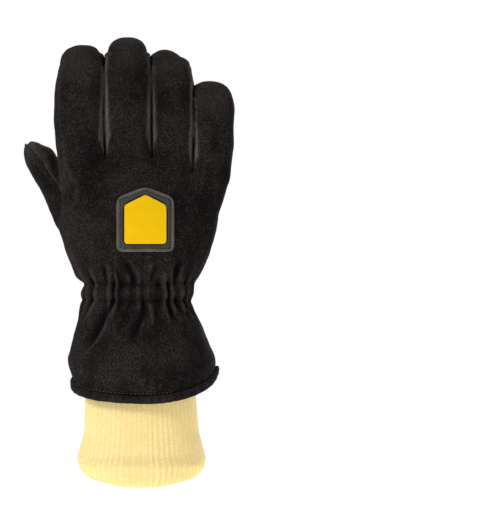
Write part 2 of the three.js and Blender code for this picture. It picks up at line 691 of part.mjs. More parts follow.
// Sections of the knit: level up the glove, half axes and how far its middle stands off the origin
const seat = BODY_SECTIONS[CUFF_SECTIONS.length];
const KNIT_SECTIONS = [
  { level: 0, wide: 0.9, deep: 0.88, off: -1 },
  { level: 0.06, wide: 0.985, deep: 0.98, off: -1 },
  { level: 0.2, wide: 1.02, deep: 1.02, off: -1.1 },
  { level: 0.32, wide: 0.97, deep: 0.98, off: -1.1 },
  { level: 0.5, wide: 0.92, deep: 0.945, off: -0.9 },
  { level: 0.96, wide: 0.85, deep: 0.86, off: -1 },
].map((s) => ({
  z: s.level * HEM_LEVEL,
  wide: (s.wide * KNIT_MOUTH.width) / 2,
  deep: (s.deep * KNIT_MOUTH.depth) / 2,
  off: s.off,
}));
const sewn = WALL + SEAT_GAP + KNIT_EASE;
for (const z of [LOW_ELASTIC, LOW_ELASTIC + KNIT_TUCK])
  KNIT_SECTIONS.push({
    z,
    wide: (seat.left + seat.right) / 2 - sewn,
    deep: Math.min(seat.back, seat.palm) - sewn,
    off: (seat.right - seat.left) / 2,
    seated: true,
  });

// Height of the mouth's edge: it dips in the middle of the back and of the palm
function mouthRise(angle) {
  const s = Math.sin(angle);
  const middle = s > 0 ? MOUTH_PALM_RISE : 0;
  return MOUTH_RISE + (middle - MOUTH_RISE) * Math.abs(s);
}

function knitRing(s, grow, ribbed, count) {
  const ring = [];
  for (let i = 0; i < count; i++) {
    const angle = (2 * Math.PI * i) / count;
    const rib = ribbed && !s.seated && i % 2 ? RIB_DEPTH : 0;
    const off = grow - rib;
    const p = sectionPoint(angle, s.wide + off, s.wide + off, s.deep + off, s.deep + off, 2.15);
    const rise = mouthRise(angle) * Math.max(0, 1 - s.z / (0.55 * HEM_LEVEL));
    ring.push(new THREE.Vector3(p.x + s.off, p.y, s.z + rise));
  }
  return ring;
}

// The knitted wrist, ribbed outside: up its outer wall and down its inner one
function knit() {
  const count = 2 * KNIT_RIBS;
  const inner = [0, 2, 4, 6, 7].map((i) => KNIT_SECTIONS[i]).reverse();
  const rings = [
    ...KNIT_SECTIONS.map((s) => knitRing(s, 0, true, count)),
    ...inner.map((s) => knitRing(s, -KNIT_WALL, false, count)),
  ];
  const sections = [];
  for (let i = 0; i < count; i++) sections.push(rings.map((ring) => ring[i]));
  return hoop(sections.reverse());
}

// The pulse guard: a leather tongue that lies on the knit
function guard() {
  const sides = 40;
  const rings = KNIT_SECTIONS.slice(0, -1);
  const skin = (grow) =>
    loft([
      knitRing({ ...rings[0], z: rings[0].z - 20 }, grow, false, sides),
      ...rings.map((s) => knitRing(s, grow, false, sides)),
    ]);
  const hem = HEM_LEVEL - HEM_PALM_DIP;
  const top = hem + GUARD_HIDDEN;
  const foot = 0.6;
  const half = GUARD_TOP_WIDTH / 2;
  const end = GUARD_END_WIDTH / 2;
  const outline = shifted(
    [
      { x: end - 1, z: foot + 1.6 },
      { x: (half + end) / 2 + 1, z: hem * 0.5 },
      { x: half, z: hem },
      { x: half + 0.5, z: top },
      { x: -half - GUARD_FLARE, z: top },
      { x: -half - GUARD_FLARE, z: hem },
      { x: -half - 0.35 * GUARD_FLARE, z: hem - 6 },
      { x: -half, z: hem - 14 },
      { x: -(half + end) / 2, z: hem * 0.45 },
      { x: -end, z: foot },
      { x: -end * 0.3, z: foot - 0.5 },
    ],
    GUARD_SHIFT,
    0,
  );
  return skin(SEAT_GAP + GUARD_THICKNESS).subtract(skin(SEAT_GAP)).intersect(prismAlongY(outline, 0, FAR));
}

// The badge's five-sided outline, drawn in by an amount, with rounded corners
function badgeOutline(inset, radius) {
  const w = BADGE_WIDTH / 2 - inset;
  const h = BADGE_HEIGHT / 2 - inset;
  const corners = [
    [w, -h],
    [w, h - BADGE_PEAK],
    [0, h],
    [-w, h - BADGE_PEAK],
    [-w, -h],
  ].map(([x, z]) => new THREE.Vector2(x + BADGE_SHIFT, z + HIGH_ELASTIC + BADGE_UP * HAND_LENGTH));
  const path = new THREE.Path();
  corners.forEach((corner, i) => {
    const before = corners[(i + corners.length - 1) % corners.length];
    const after = corners[(i + 1) % corners.length];
    const a = corner.clone().add(before.clone().sub(corner).setLength(radius));
    const b = corner.clone().add(after.clone().sub(corner).setLength(radius));
    if (i === 0) path.moveTo(a.x, a.y);
    else path.lineTo(a.x, a.y);
    path.quadraticCurveTo(corner.x, corner.y, b.x, b.y);
  });
  return path.getPoints(3).map((p) => ({ x: p.x, z: p.y }));
}

function badge() {
  const lying = bodyTube(SEAT_GAP, PLEATS, false);
  const patch = bodyTube(SEAT_GAP + BADGE_THICKNESS, PLEATS, false).subtract(lying);
  const outer = prismAlongY(badgeOutline(0, 5), -FAR, 0);
  const hole = prismAlongY(badgeOutline(BADGE_BORDER, 5.2), -FAR, 0);
  const plate = prismAlongY(badgeOutline(BADGE_BORDER + FIELD_GAP, 5), -FAR, 0);
  return { border: patch.intersect(outer).subtract(hole), field: patch.intersect(plate) };
}

// The fingers bend a little to the palm, so every piece is bent in the same way above the knuckles
function curl(z) {
  const start = HIGH_ELASTIC + 0.5 * HAND_LENGTH;
  const share = Math.max(0, (z - start) / (TOP - start));
  return FINGER_CURL * share ** 1.8;
}

function mesh(name, made, material) {
  const source = made.getMesh();
  const positions = new Float32Array(source.numVert * 3);
  for (let i = 0; i < source.numVert; i++) {
    const [x, y, z] = source.vertProperties.subarray(i * source.numProp, i * source.numProp + 3);
    positions.set([x, y + curl(z), z], 3 * i);
  }
  const geometry = new THREE.BufferGeometry()
    .setAttribute("position", new THREE.BufferAttribute(positions, 3))
    .setIndex(new THREE.BufferAttribute(source.triVerts, 1));
  geometry.computeVertexNormals();
  const piece = new THREE.Mesh(geometry, material);
  piece.name = name;
  return piece;
}

const suede = new THREE.MeshStandardMaterial({ color: 0x1f1c1b, roughness: 0.95, metalness: 0 });
const palmLeather = new THREE.MeshStandardMaterial({ color: 0x2b2725, roughness: 0.9, metalness: 0 });
const stripLeather = new THREE.MeshStandardMaterial({ color: 0x4a4640, roughness: 0.85, metalness: 0 });
const patchLeather = new THREE.MeshStandardMaterial({ color: 0x55524b, roughness: 0.7, metalness: 0 });
const yellow = new THREE.MeshStandardMaterial({ color: 0xf4c300, roughness: 0.5, metalness: 0 });
const yarn = new THREE.MeshStandardMaterial({ color: 0xf3df9a, roughness: 1, metalness: 0 });

const glove = new THREE.Group();
const patches = badge();
const backRegion = union(backRegions);
const heel = heelRegion();
glove.add(
  mesh("back_panel", panel(backRegion.intersect(HAND_PART)), suede),
  mesh("cuff_back", panel(backRegion.intersect(CUFF_PART)), suede),
  mesh("palm_panel", palmPanel(), palmLeather),
  mesh("thumb_front", thumbFrontPanel(), palmLeather),
  mesh("thumb_heel", panel(heel.intersect(HAND_PART)), suede),
  mesh("cuff_thumb_side", panel(heel.intersect(CUFF_PART)), suede),
  mesh("index_side_strip", stripPanel(-1), suede),
  mesh("strip_index_middle", stripPanel(0), stripLeather),
  mesh("strip_middle_ring", stripPanel(1), stripLeather),
  mesh("strip_ring_little", stripPanel(2), stripLeather),
  mesh("cuff_hem", hem(), suede),
  mesh("knit_wrist", knit(), yarn),
  mesh("pulse_guard", guard(), palmLeather),
  mesh("badge_border", patches.border, patchLeather),
  mesh("badge_field", patches.field, yellow),
);

export default glove;
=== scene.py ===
"""Looks of a right-hand structural firefighting glove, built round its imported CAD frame.

The leather panels are made from one skin that is laid over the frame's panels, gathered, creased and
drawn in at its seams, and then cut apart along them. The knitted wrist, the hem, the guard over the pulse,
the badge and all stitching are modelled here as well. Lengths are metres unless a line says millimetres,
+Z runs to the fingertips, and the back faces -Y.
"""

import logging
import math
from dataclasses import dataclass, field
from enum import Enum

import bmesh
import bpy
import numpy as np
from mathutils import Matrix, Vector, noise
from mathutils.bvhtree import BVHTree

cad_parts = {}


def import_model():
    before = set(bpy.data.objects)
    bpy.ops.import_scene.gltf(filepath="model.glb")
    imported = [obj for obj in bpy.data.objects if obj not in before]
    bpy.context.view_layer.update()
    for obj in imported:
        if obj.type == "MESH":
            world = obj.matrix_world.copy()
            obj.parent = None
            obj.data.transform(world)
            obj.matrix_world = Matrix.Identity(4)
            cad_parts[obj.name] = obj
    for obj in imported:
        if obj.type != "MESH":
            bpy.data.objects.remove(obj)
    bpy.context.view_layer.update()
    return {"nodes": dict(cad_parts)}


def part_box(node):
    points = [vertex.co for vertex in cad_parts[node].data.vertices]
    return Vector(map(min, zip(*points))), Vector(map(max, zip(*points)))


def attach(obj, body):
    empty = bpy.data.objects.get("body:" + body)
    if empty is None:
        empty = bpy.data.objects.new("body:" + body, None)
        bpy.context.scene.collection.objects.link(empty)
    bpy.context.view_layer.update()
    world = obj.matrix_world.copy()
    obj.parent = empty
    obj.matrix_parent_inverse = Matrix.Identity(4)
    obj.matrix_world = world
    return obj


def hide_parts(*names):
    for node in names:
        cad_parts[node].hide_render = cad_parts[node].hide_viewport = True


LOG = logging.getLogger("glove")
MM = 0.001

Mesh = bmesh.types.BMesh
Thing = bpy.types.Object
Material = bpy.types.Material
Socket = bpy.types.NodeSocket
Array = np.ndarray
Pair = tuple[float, float]
Triple = tuple[float, float, float]


class Side(Enum):
    """The two faces of the glove."""

    BACK = -1
    PALM = 1


# Materials


class Nodes:
    """A small builder for one material's node tree."""

    def __init__(self, name: str) -> None:
        """Starts a material that holds only a Principled shader and its output.

        Args:
            name: the material's name.
        """
        self.material = bpy.data.materials.new(name)
        self.material.use_nodes = True
        self.tree = self.material.node_tree
        self.tree.nodes.clear()
        self.shader = self.tree.nodes.new("ShaderNodeBsdfPrincipled")
        output = self.tree.nodes.new("ShaderNodeOutputMaterial")
        self.link(self.shader.outputs["BSDF"], output.inputs["Surface"])

    def add(self, kind: str, **values: object) -> bpy.types.Node:
        """Adds a node and sets its properties.

        Args:
            kind: the node's type name.
            **values: properties of the node by name.

        Returns:
            The node.
        """
        node = self.tree.nodes.new(kind)
        for key, value in values.items():
            setattr(node, key, value)
        return node

    def link(self, source: Socket, target: Socket) -> None:
        """Joins two sockets."""
        self.tree.links.new(source, target)

    @staticmethod
    def fill(node: bpy.types.Node, **values: object) -> None:
        """Sets inputs of a node.

        Args:
            node: the node.
            **values: values by the inputs' names, with _ for a space.
        """
        for name, value in values.items():
            node.inputs[name.replace("_", " ")].default_value = value

    def noise(self, scale: float, detail: float = 3.0, rough: float = 0.5,
              stretch: Triple = (1, 1, 1)) -> Socket:
        """Adds a noise texture on object coordinates.

        Args:
            scale: how many features it has to a metre.
            detail: octaves.
            rough: how strong the finer octaves are.
            stretch: factors on the three axes.

        Returns:
            The factor socket.
        """
        mapping = self.add("ShaderNodeMapping")
        self.fill(mapping, Scale=stretch)
        self.link(self.add("ShaderNodeTexCoord").outputs["Object"], mapping.inputs["Vector"])
        node = self.add("ShaderNodeTexNoise")
        self.fill(node, Scale=scale, Detail=detail, Roughness=rough)
        self.link(mapping.outputs["Vector"], node.inputs["Vector"])
        return node.outputs["Fac"]

    def ramp(self, source: Socket, low: float, high: float, to_low: float = 0.0,
             to_high: float = 1.0) -> Socket:
        """Maps a range of values smoothly onto another.

        Args:
            source: the values.
            low: start of their range.
            high: end of their range.
            to_low: what the start becomes.
            to_high: what the end becomes.

        Returns:
            The mapped value.
        """
        node = self.add("ShaderNodeMapRange", interpolation_type="SMOOTHSTEP")
        self.fill(node, From_Min=low, From_Max=high, To_Min=to_low, To_Max=to_high)
        self.link(source, node.inputs["Value"])
        return node.outputs["Result"]

    def math(self, operation: str, a: object, b: object = 0.0) -> Socket:
        """Adds a math node.

        Args:
            operation: its operation.
            a: first value, a socket or a number.
            b: second value, a socket or a number.

        Returns:
            The result.
        """
        node = self.add("ShaderNodeMath", operation=operation)
        for socket, value in zip(node.inputs, (a, b)):
            if isinstance(value, (int, float)):
                socket.default_value = value
            else:
                self.link(value, socket)
        return node.outputs["Value"]

    def mix(self, factor: Socket, a: object, b: object) -> Socket:
        """Mixes two colours.

        Args:
            factor: how much of the second one shows.
            a: first colour, a socket or three numbers.
            b: second colour, a socket or three numbers.

        Returns:
            The mixed colour.
        """
        node = self.add("ShaderNodeMix", data_type="RGBA")
        self.link(factor, node.inputs["Factor"])
        for socket, value in ((node.inputs[6], a), (node.inputs[7], b)):
            if isinstance(value, tuple):
                socket.default_value = (*value, 1.0)
            else:
                self.link(value, socket)
        return node.outputs[2]

    def attribute(self, name: str) -> Socket:
        """Returns the value of a mesh attribute."""
        return self.add("ShaderNodeAttribute", attribute_name=name).outputs["Fac"]

    def bump(self, height: Socket, strength: float, distance: float, base: Socket | None = None) -> Socket:
        """Adds a bump node.

        Args:
            height: the height.
            strength: how strong it is.
            distance: how high a height of one is, in metres.
            base: normal of a bump below this one.

        Returns:
            The normal.
        """
        node = self.add("ShaderNodeBump")
        self.fill(node, Strength=strength, Distance=distance)
        self.link(height, node.inputs["Height"])
        if base is not None:
            self.link(base, node.inputs["Normal"])
        return node.outputs["Normal"]


@dataclass(frozen=True)
class SuedeFinish:
    """Split leather: matt and grainy, brushed in patches, lighter in tone and with painted highlights where the
    mesh marks them, and with painted shade down in its seams and crevices.

    Attributes:
        name: the material's name.
        dark: colour of the deep nap, linear.
        light: colour of the brushed nap, linear.
        edge: colour of the lighter tone, the painted highlights, the flecks and the raw edges, linear.
        rim: how strongly the raw edges beside a seam show.
        grain: height of the nap's grain in millimetres.
        sheen: weight of the sheen.
    """

    name: str
    dark: Triple
    light: Triple
    edge: Triple
    rim: float = 0.3
    grain: float = 0.3
    sheen: float = 0.02

    def build(self) -> Material:
        """Returns the material."""
        n = Nodes(self.name)
        patches = n.ramp(n.noise(30, 4, 0.6, (1, 1, 0.7)), 0.38, 0.68)
        streaks = n.ramp(n.noise(150, 3, 0.6, (1, 1, 0.6)), 0.38, 0.7)
        grain = n.noise(900, 3, 0.7)
        nap = n.math("ADD", n.math("MULTIPLY", patches, 0.5), n.math("MULTIPLY", streaks, 0.2))
        nap = n.math("MULTIPLY", n.math("ADD", nap, 0.12), n.ramp(grain, 0.36, 0.64, 0.1, 1.9))
        colour = n.mix(n.math("MINIMUM", nap, 1.0), self.dark, self.light)
        # Lighter tone near the fingertips and painted highlights on the crests of folds and puckers, from the
        # attribute read here.
        wear = n.math("MULTIPLY", n.attribute("wear"), n.ramp(grain, 0.3, 0.7, 0.4, 1.0))
        colour = n.mix(wear, colour, self.edge)
        flecks = n.math("MULTIPLY", n.ramp(n.noise(560, 2, 0.6), 0.6, 0.72), 0.55)
        colour = n.mix(flecks, colour, self.edge)
        seam = n.attribute("seam")
        rim = n.math("MULTIPLY", n.ramp(seam, 0.5, 1.0), n.ramp(seam, 1.4, 2.6, self.rim, 0.0))
        rim = n.math("MULTIPLY", rim, n.ramp(n.noise(300, 3, 0.6), 0.35, 0.65, 0.3, 1.0))
        colour = n.mix(rim, colour, self.edge)
        # Painted shade: a narrow line down in each seam, and the clefts, fold valleys and hollows that the deep
        # attribute marks, are painted near black.
        colour = n.mix(n.ramp(seam, 0.15, 0.85, 0.85, 0.0), colour, (0.001, 0.001, 0.001))
        colour = n.mix(n.math("MULTIPLY", n.attribute("deep"), 0.85), colour, (0.001, 0.001, 0.001))
        n.link(colour, n.shader.inputs["Base Color"])
        n.fill(n.shader, Roughness=1.0, Specular_IOR_Level=0.04, Sheen_Weight=self.sheen, Sheen_Roughness=0.5)
        coarse = n.bump(n.noise(300, 4, 0.65), 0.8, 1.3 * self.grain * MM)
        n.link(n.bump(grain, 0.9, self.grain * MM, coarse), n.shader.inputs["Normal"])
        return n.material


@dataclass(frozen=True)
class YarnFinish:
    """Ribbed knit: V-shaped stitches in columns, drawn on the piece's own UV map, with painted shade in the
    valleys between ribs and loops.

    Attributes:
        name: the material's name.
        crest: colour of the ribs, linear.
        valley: darker colour for the painted shade between the ribs and for the random tone, linear.
        courses: rows of stitches to one unit of V.
    """

    name: str
    crest: Triple
    valley: Triple
    courses: float

    def build(self) -> Material:
        """Returns the material."""
        n = Nodes(self.name)
        split = n.add("ShaderNodeSeparateXYZ")
        n.link(n.add("ShaderNodeUVMap", uv_map="UVMap").outputs["UV"], split.inputs["Vector"])
        column = n.math("FRACT", split.outputs["X"])
        off = n.math("ABSOLUTE", n.math("SUBTRACT", column, 0.5))
        course = n.math("MULTIPLY", split.outputs["Y"], self.courses)
        slanted = n.math("ADD", course, n.math("MULTIPLY", off, 1.6))
        thread = n.math("ABSOLUTE", n.math("SUBTRACT", n.math("FRACT", slanted), 0.5))
        loop = n.ramp(thread, 0.08, 0.42, 1.0, 0.0)
        middle = n.ramp(off, 0.0, 0.07, 0.55, 1.0)
        fuzz = n.noise(2600, 3, 0.7)
        height = n.math("MULTIPLY", loop, middle)
        # Painted shade: darker towards the valleys between ribs and between the loops; the two noises below add
        # random tone.
        shade = n.math("MULTIPLY", n.ramp(off, 0.15, 0.5, 1.0, 0.35), n.ramp(height, 0.0, 0.8, 0.75, 1.0))
        shade = n.math("MULTIPLY", shade, n.ramp(n.noise(700, 3, 0.7), 0.34, 0.6, 0.25, 1.0))
        shade = n.math("MULTIPLY", shade, n.ramp(n.noise(60, 3), 0.3, 0.7, 0.75, 1.0))
        n.link(n.mix(shade, self.valley, self.crest), n.shader.inputs["Base Color"])
        n.fill(n.shader, Roughness=0.9, Specular_IOR_Level=0.2, Sheen_Weight=0.25)
        knit = n.bump(height, 0.6, 0.3 * MM)
        n.link(n.bump(fuzz, 0.5, 0.12 * MM, knit), n.shader.inputs["Normal"])
        return n.material


@dataclass(frozen=True)
class PlainFinish:
    """A smooth coated or dyed surface with a fine grain.

    Attributes:
        name: the material's name.
        colour: its colour, linear.
        shade: a second colour that clouds it, linear.
        rough: roughness.
        grain: features of the grain to a metre.
        height: height of the grain in millimetres.
        rim: colour along the edge, where the attribute edge is near nothing, or none.
        band: colour further in than 3 mm, or none.
        gloss: specular level.
    """

    name: str
    colour: Triple
    shade: Triple
    rough: float
    grain: float
    height: float
    rim: Triple | None = None
    band: Triple | None = None
    gloss: float = 0.3

    def build(self) -> Material:
        """Returns the material."""
        n = Nodes(self.name)
        colour = n.mix(n.ramp(n.noise(110, 4, 0.6), 0.35, 0.7), self.colour, self.shade)
        if self.band is not None:
            colour = n.mix(n.ramp(n.attribute("edge"), 2.7, 3.1), colour, self.band)
        if self.rim is not None:
            colour = n.mix(n.ramp(n.attribute("edge"), 0.55, 0.85, 1.0, 0.0), colour, self.rim)
        n.link(colour, n.shader.inputs["Base Color"])
        n.fill(n.shader, Roughness=self.rough, Specular_IOR_Level=self.gloss)
        n.link(n.bump(n.noise(self.grain, 4, 0.6), 0.8, self.height * MM), n.shader.inputs["Normal"])
        return n.material


def thread(name: str, colour: Triple, shade: Triple) -> PlainFinish:
    """Returns the finish of a sewing thread.

    Args:
        name: the material's name.
        colour: its colour, linear.
        shade: a second colour that clouds it, linear.
    """
    return PlainFinish(name, colour, shade, rough=0.8, grain=2500, height=0.05)


# Mesh helpers


def bell(values: Array, width: float) -> Array:
    """Returns a bell curve: 1 where a value is nothing, and about a third one width away."""
    return np.exp(-((values / width) ** 2))


def placed(name: str, data: bpy.types.ID) -> Thing:
    """Adds an object to the scene.

    Args:
        name: its name.
        data: its mesh, light or camera.

    Returns:
        The object.
    """
    obj = bpy.data.objects.new(name, data)
    bpy.context.scene.collection.objects.link(obj)
    return obj


def paint(bm: Mesh, **values: object) -> None:
    """Stores values on the vertices, for the materials to read.

    Args:
        bm: the mesh.
        **values: by the attribute's name, one value for all vertices or a row of them.
    """
    for name, value in values.items():
        layer = bm.verts.layers.float.new(name)
        for vertex, number in zip(bm.verts, np.broadcast_to(value, len(bm.verts))):
            vertex[layer] = number


def merged(node: Thing) -> Mesh:
    """Copies a frame node's mesh with its split vertices merged.

    Args:
        node: the node.

    Returns:
        The copy.
    """
    bm = bmesh.new()
    bm.from_mesh(node.data)
    bmesh.ops.remove_doubles(bm, verts=bm.verts, dist=2e-6)
    return bm


def tree_of(node: Thing) -> BVHTree:
    """Returns a search tree of a frame node's surface."""
    bm = merged(node)
    tree = BVHTree.FromBMesh(bm)
    bm.free()
    return tree


def remeshed(bm: Mesh, voxel: float) -> Mesh:
    """Lays an even skin over closed bodies.

    Args:
        bm: the bodies, freed here.
        voxel: length of the new faces' sides.

    Returns:
        The skin.
    """
    mesh = bpy.data.meshes.new("skin")
    bm.to_mesh(mesh)
    bm.free()
    obj = placed("skin", mesh)
    change = obj.modifiers.new("skin", "REMESH")
    change.mode = "VOXEL"
    change.voxel_size = voxel
    change.adaptivity = 0.0
    evaluated = obj.evaluated_get(bpy.context.evaluated_depsgraph_get())
    result = bpy.data.meshes.new_from_object(evaluated)
    out = bmesh.new()
    out.from_mesh(result)
    bpy.data.objects.remove(obj)
    bpy.data.meshes.remove(mesh)
    bpy.data.meshes.remove(result)
    return out


def coordinates(bm: Mesh) -> Array:
    """Returns the vertices' places as rows."""
    return np.array([v.co[:] for v in bm.verts])


def normals(bm: Mesh) -> Array:
    """Returns the vertices' normals as rows."""
    bm.normal_update()
    return np.array([v.normal[:] for v in bm.verts])


def move_along_normals(bm: Mesh, amount: Array) -> None:
    """Moves every vertex along its normal.

    Args:
        bm: the mesh.
        amount: how far, for each vertex.
    """
    for vertex, place in zip(bm.verts, coordinates(bm) + normals(bm) * amount[:, None]):
        vertex.co = place


def smooth(bm: Mesh, times: int, factor: float = 0.5) -> None:
    """Smooths a mesh.

    Args:
        bm: the mesh.
        times: how often.
        factor: how strongly each time.
    """
    for _ in range(times):
        bmesh.ops.smooth_vert(
            bm, verts=bm.verts, factor=factor, use_axis_x=True, use_axis_y=True, use_axis_z=True
        )


def convexity(bm: Mesh, rounds: int) -> Array:
    """Finds how far each vertex stands out of its surroundings along its normal.

    Args:
        bm: the mesh.
        rounds: rounds of evening that give the surroundings.

    Returns:
        The distances in metres.
    """
    bm.verts.index_update()
    ends = np.array([(e.verts[0].index, e.verts[1].index) for e in bm.edges])
    a, b = np.concatenate([ends, ends[:, ::-1]]).T
    places, facing = coordinates(bm), normals(bm)
    count = np.bincount(a, minlength=len(places))
    even = places
    for _ in range(rounds):
        even = np.stack([np.bincount(a, even[b, k], len(places)) / count for k in range(3)], 1)
    return ((places - even) * facing).sum(axis=1)


def lumps(places: Array, size: float, seed: float) -> Array:
    """Works out smooth random values between about -1 and 1.

    Args:
        places: where, as rows.
        size: how large a lump is.
        seed: what sets this field apart from others.

    Returns:
        A value for each place.
    """
    shift = Vector((seed, seed * 1.7, -seed))
    return np.array([noise.noise(Vector(p) / size + shift) for p in places])


def as_piece(bm: Mesh, name: str, material: Material) -> Thing:
    """Turns a mesh into a smooth-shaded object of the scene.

    Args:
        bm: the mesh, freed here.
        name: the object's name.
        material: its material.

    Returns:
        The object.
    """
    for face in bm.faces:
        face.smooth = True
    mesh = bpy.data.meshes.new(name)
    bm.to_mesh(mesh)
    bm.free()
    mesh.materials.append(material)
    return placed(name, mesh)


def declare(obj: Thing, slot: str | None = None, *replaced: str) -> Thing:
    """Args:
        obj: the piece.
        slot: not used.
        replaced: frame nodes it stands for.

    Returns:
        The piece.
    """
    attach(obj, "root")
    if replaced:
        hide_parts(*replaced)
    LOG.info("%s: %d faces", obj.name, len(obj.data.polygons))
    return obj


# Shape of the glove, shared by its pieces


@dataclass(frozen=True)
class Shape:
    """Levels and outlines of the glove in metres.

    Attributes:
        hem_seam: height of the seam above the hem at the cuff's sides.
        hem_tilt: how far the hem rises from the middle to the little finger's side.
        back_dip: how far it dips on the back.
        palm_dip: how far it dips on the palm.
        low_elastic: height of the lower row of elastic.
        high_elastic: height of the upper row.
        cuff: half widths of the cuff at the hem, across and to the back and the palm.
        wrist: half widths at the elastic.
        mouth_rise: how far the knit's mouth rises at its sides.
        mouth_palm: how far it rises in the middle of the palm side.
        power: roundness of the outlines.
        sag: how the hem has settled on the back: lift at each x, in millimetres.
    """

    hem_seam: float = 86.3 * MM
    hem_tilt: float = 3.9 * MM
    back_dip: float = 15.5 * MM
    palm_dip: float = 4.2 * MM
    low_elastic: float = 140.6 * MM
    high_elastic: float = 153.6 * MM
    cuff: Triple = (55.6 * MM, 37.0 * MM, 36.0 * MM)
    wrist: Triple = (42.0 * MM, 27.0 * MM, 26.5 * MM)
    mouth_rise: float = 10.0 * MM
    mouth_palm: float = 2.4 * MM
    power: float = 2.35
    sag: tuple[Pair, ...] = (
        (-57, 1.6), (-45, 2.0), (-27, 1.4), (-10, 0.1), (4, -1.2), (19, -1.5), (39, -1.0), (52, 0.8),
        (58, 3.0),
    )

    def settle(self, places: Array) -> Array:
        """Finds how the cuff's lower edge has settled on the back.

        Args:
            places: the places, as rows.

        Returns:
            How far each is lifted, in metres.
        """
        across, lift = (np.array(column) * MM for column in zip(*self.sag))
        back = np.clip((20 * MM - places[:, 1]) / (15 * MM), 0, 1)
        low = np.clip((116 * MM - places[:, 2]) / (26 * MM), 0, 1)
        return np.interp(places[:, 0], across, lift) * back * low

    def corner(self, angle: float) -> Pair:
        """Returns a point of the outline whose half widths are all one."""
        c, s = math.cos(angle), math.sin(angle)
        power = 2 / self.power
        return math.copysign(abs(c) ** power, c), math.copysign(abs(s) ** power, s)

    def rise(self, angle: float) -> float:
        """Returns how far the hem lies above its level at an angle of the outline."""
        x, y = self.corner(angle)
        return self.hem_tilt * x - (self.back_dip if y < 0 else self.palm_dip) * abs(y)

    def outline(self, half: Triple, angle: float) -> Pair:
        """Returns a point of an outline.

        Args:
            half: half width, and depths to the back and the palm.
            angle: the outline's parameter.

        Returns:
            Its x and y.
        """
        x, y = self.corner(angle)
        return x * half[0], y * (half[1] if y < 0 else half[2])

    def girth(self, places: Array) -> Array:
        """Finds how far round the wrist each place is.

        Args:
            places: the places, as rows.

        Returns:
            Shares of the whole way round, from the thumb's side over the back.
        """
        angles = np.linspace(-math.pi, math.pi, 721)
        ring = np.array([self.outline(self.wrist, a) for a in angles])
        steps = np.hypot(*np.diff(ring, axis=0).T)
        length = np.concatenate([[0], np.cumsum(steps)])
        bearing = np.arctan2(ring[:, 1], ring[:, 0])
        bearing[0] = -math.pi
        bearing[-1] = math.pi
        return np.interp(np.arctan2(places[:, 1], places[:, 0]), bearing, length / length[-1])


# Leather

# How far in millimetres the next seam is, on a piece that has none.
NO_SEAM = 9.0


@dataclass(frozen=True)
class Crease:
    """One fold or ridge drawn on a face of the glove.

    Attributes:
        side: the face.
        start: x and z of its upper end in millimetres.
        bend: x and z of the point that bends it.
        end: x and z of its lower end.
        depth: how far it goes in, or out where negative, in millimetres.
        width: its half width in millimetres.
    """

    side: Side
    start: Pair
    bend: Pair
    end: Pair
    depth: float
    width: float

    def push(self, places: Array, facing: Array) -> Array:
        """Works out how far the crease moves each place along its normal.

        Args:
            places: the places, as rows.
            facing: the y part of their normals.

        Returns:
            The moves in metres.
        """
        t = np.linspace(0, 1, 25)[:, None]
        a, b, c = (np.array(p) * MM for p in (self.start, self.bend, self.end))
        line = (1 - t) ** 2 * a + 2 * t * (1 - t) * b + t**2 * c
        width = self.width * MM
        flat = places[:, [0, 2]]
        near = np.all((flat > line.min(0) - 3 * width) & (flat < line.max(0) + 3 * width), axis=1)
        near &= facing * self.side.value > 0.02
        moves = np.zeros(len(places))
        if not near.any():
            return moves
        gaps = np.linalg.norm(flat[near][:, None] - line[None], axis=2)
        nearest = gaps.argmin(1)
        fade = np.sin(np.pi * np.clip(t[nearest, 0] * 0.92 + 0.04, 0, 1)) ** 0.6
        edge = np.clip(facing[near] * self.side.value / 0.3, 0, 1)
        moves[near] = -self.depth * MM * fade * edge * bell(gaps.min(1), width)
        return moves


@dataclass(frozen=True)
class Nudge:
    """One place of the outline that is pushed.

    Attributes:
        x: the place, in millimetres.
        z: its height.
        reach: how far around it the push is felt.
        across: push to the little finger's side.
        up: push upwards.
    """

    x: float
    z: float
    reach: float
    across: float
    up: float

    def push(self, places: Array) -> Array:
        """Returns the moves of all places, as rows in metres."""
        gap = np.hypot(places[:, 0] - self.x * MM, places[:, 2] - self.z * MM)
        return bell(gap, self.reach * MM)[:, None] * np.array([self.across, 0.0, self.up]) * MM


NUDGES = (
    Nudge(-65, 316, 15, 1.5, 0),
    Nudge(29, 329, 7, -1.2, -2.2),
    Nudge(67, 290, 16, 1.3, 0),
    Nudge(-84, 258, 11, 0.3, 1.7),
    Nudge(-72, 249, 7, 0.8, 5.0),
    Nudge(-79, 222, 13, 1.8, 0),
    Nudge(-64, 197, 9, -2.0, 0),
    Nudge(-45, 151, 12, 1.5, 0),
    Nudge(46, 122, 12, 0.8, 0),
    Nudge(-55, 79, 10, 2.6, 0),
    Nudge(54, 94, 10, 1.2, 0),
)

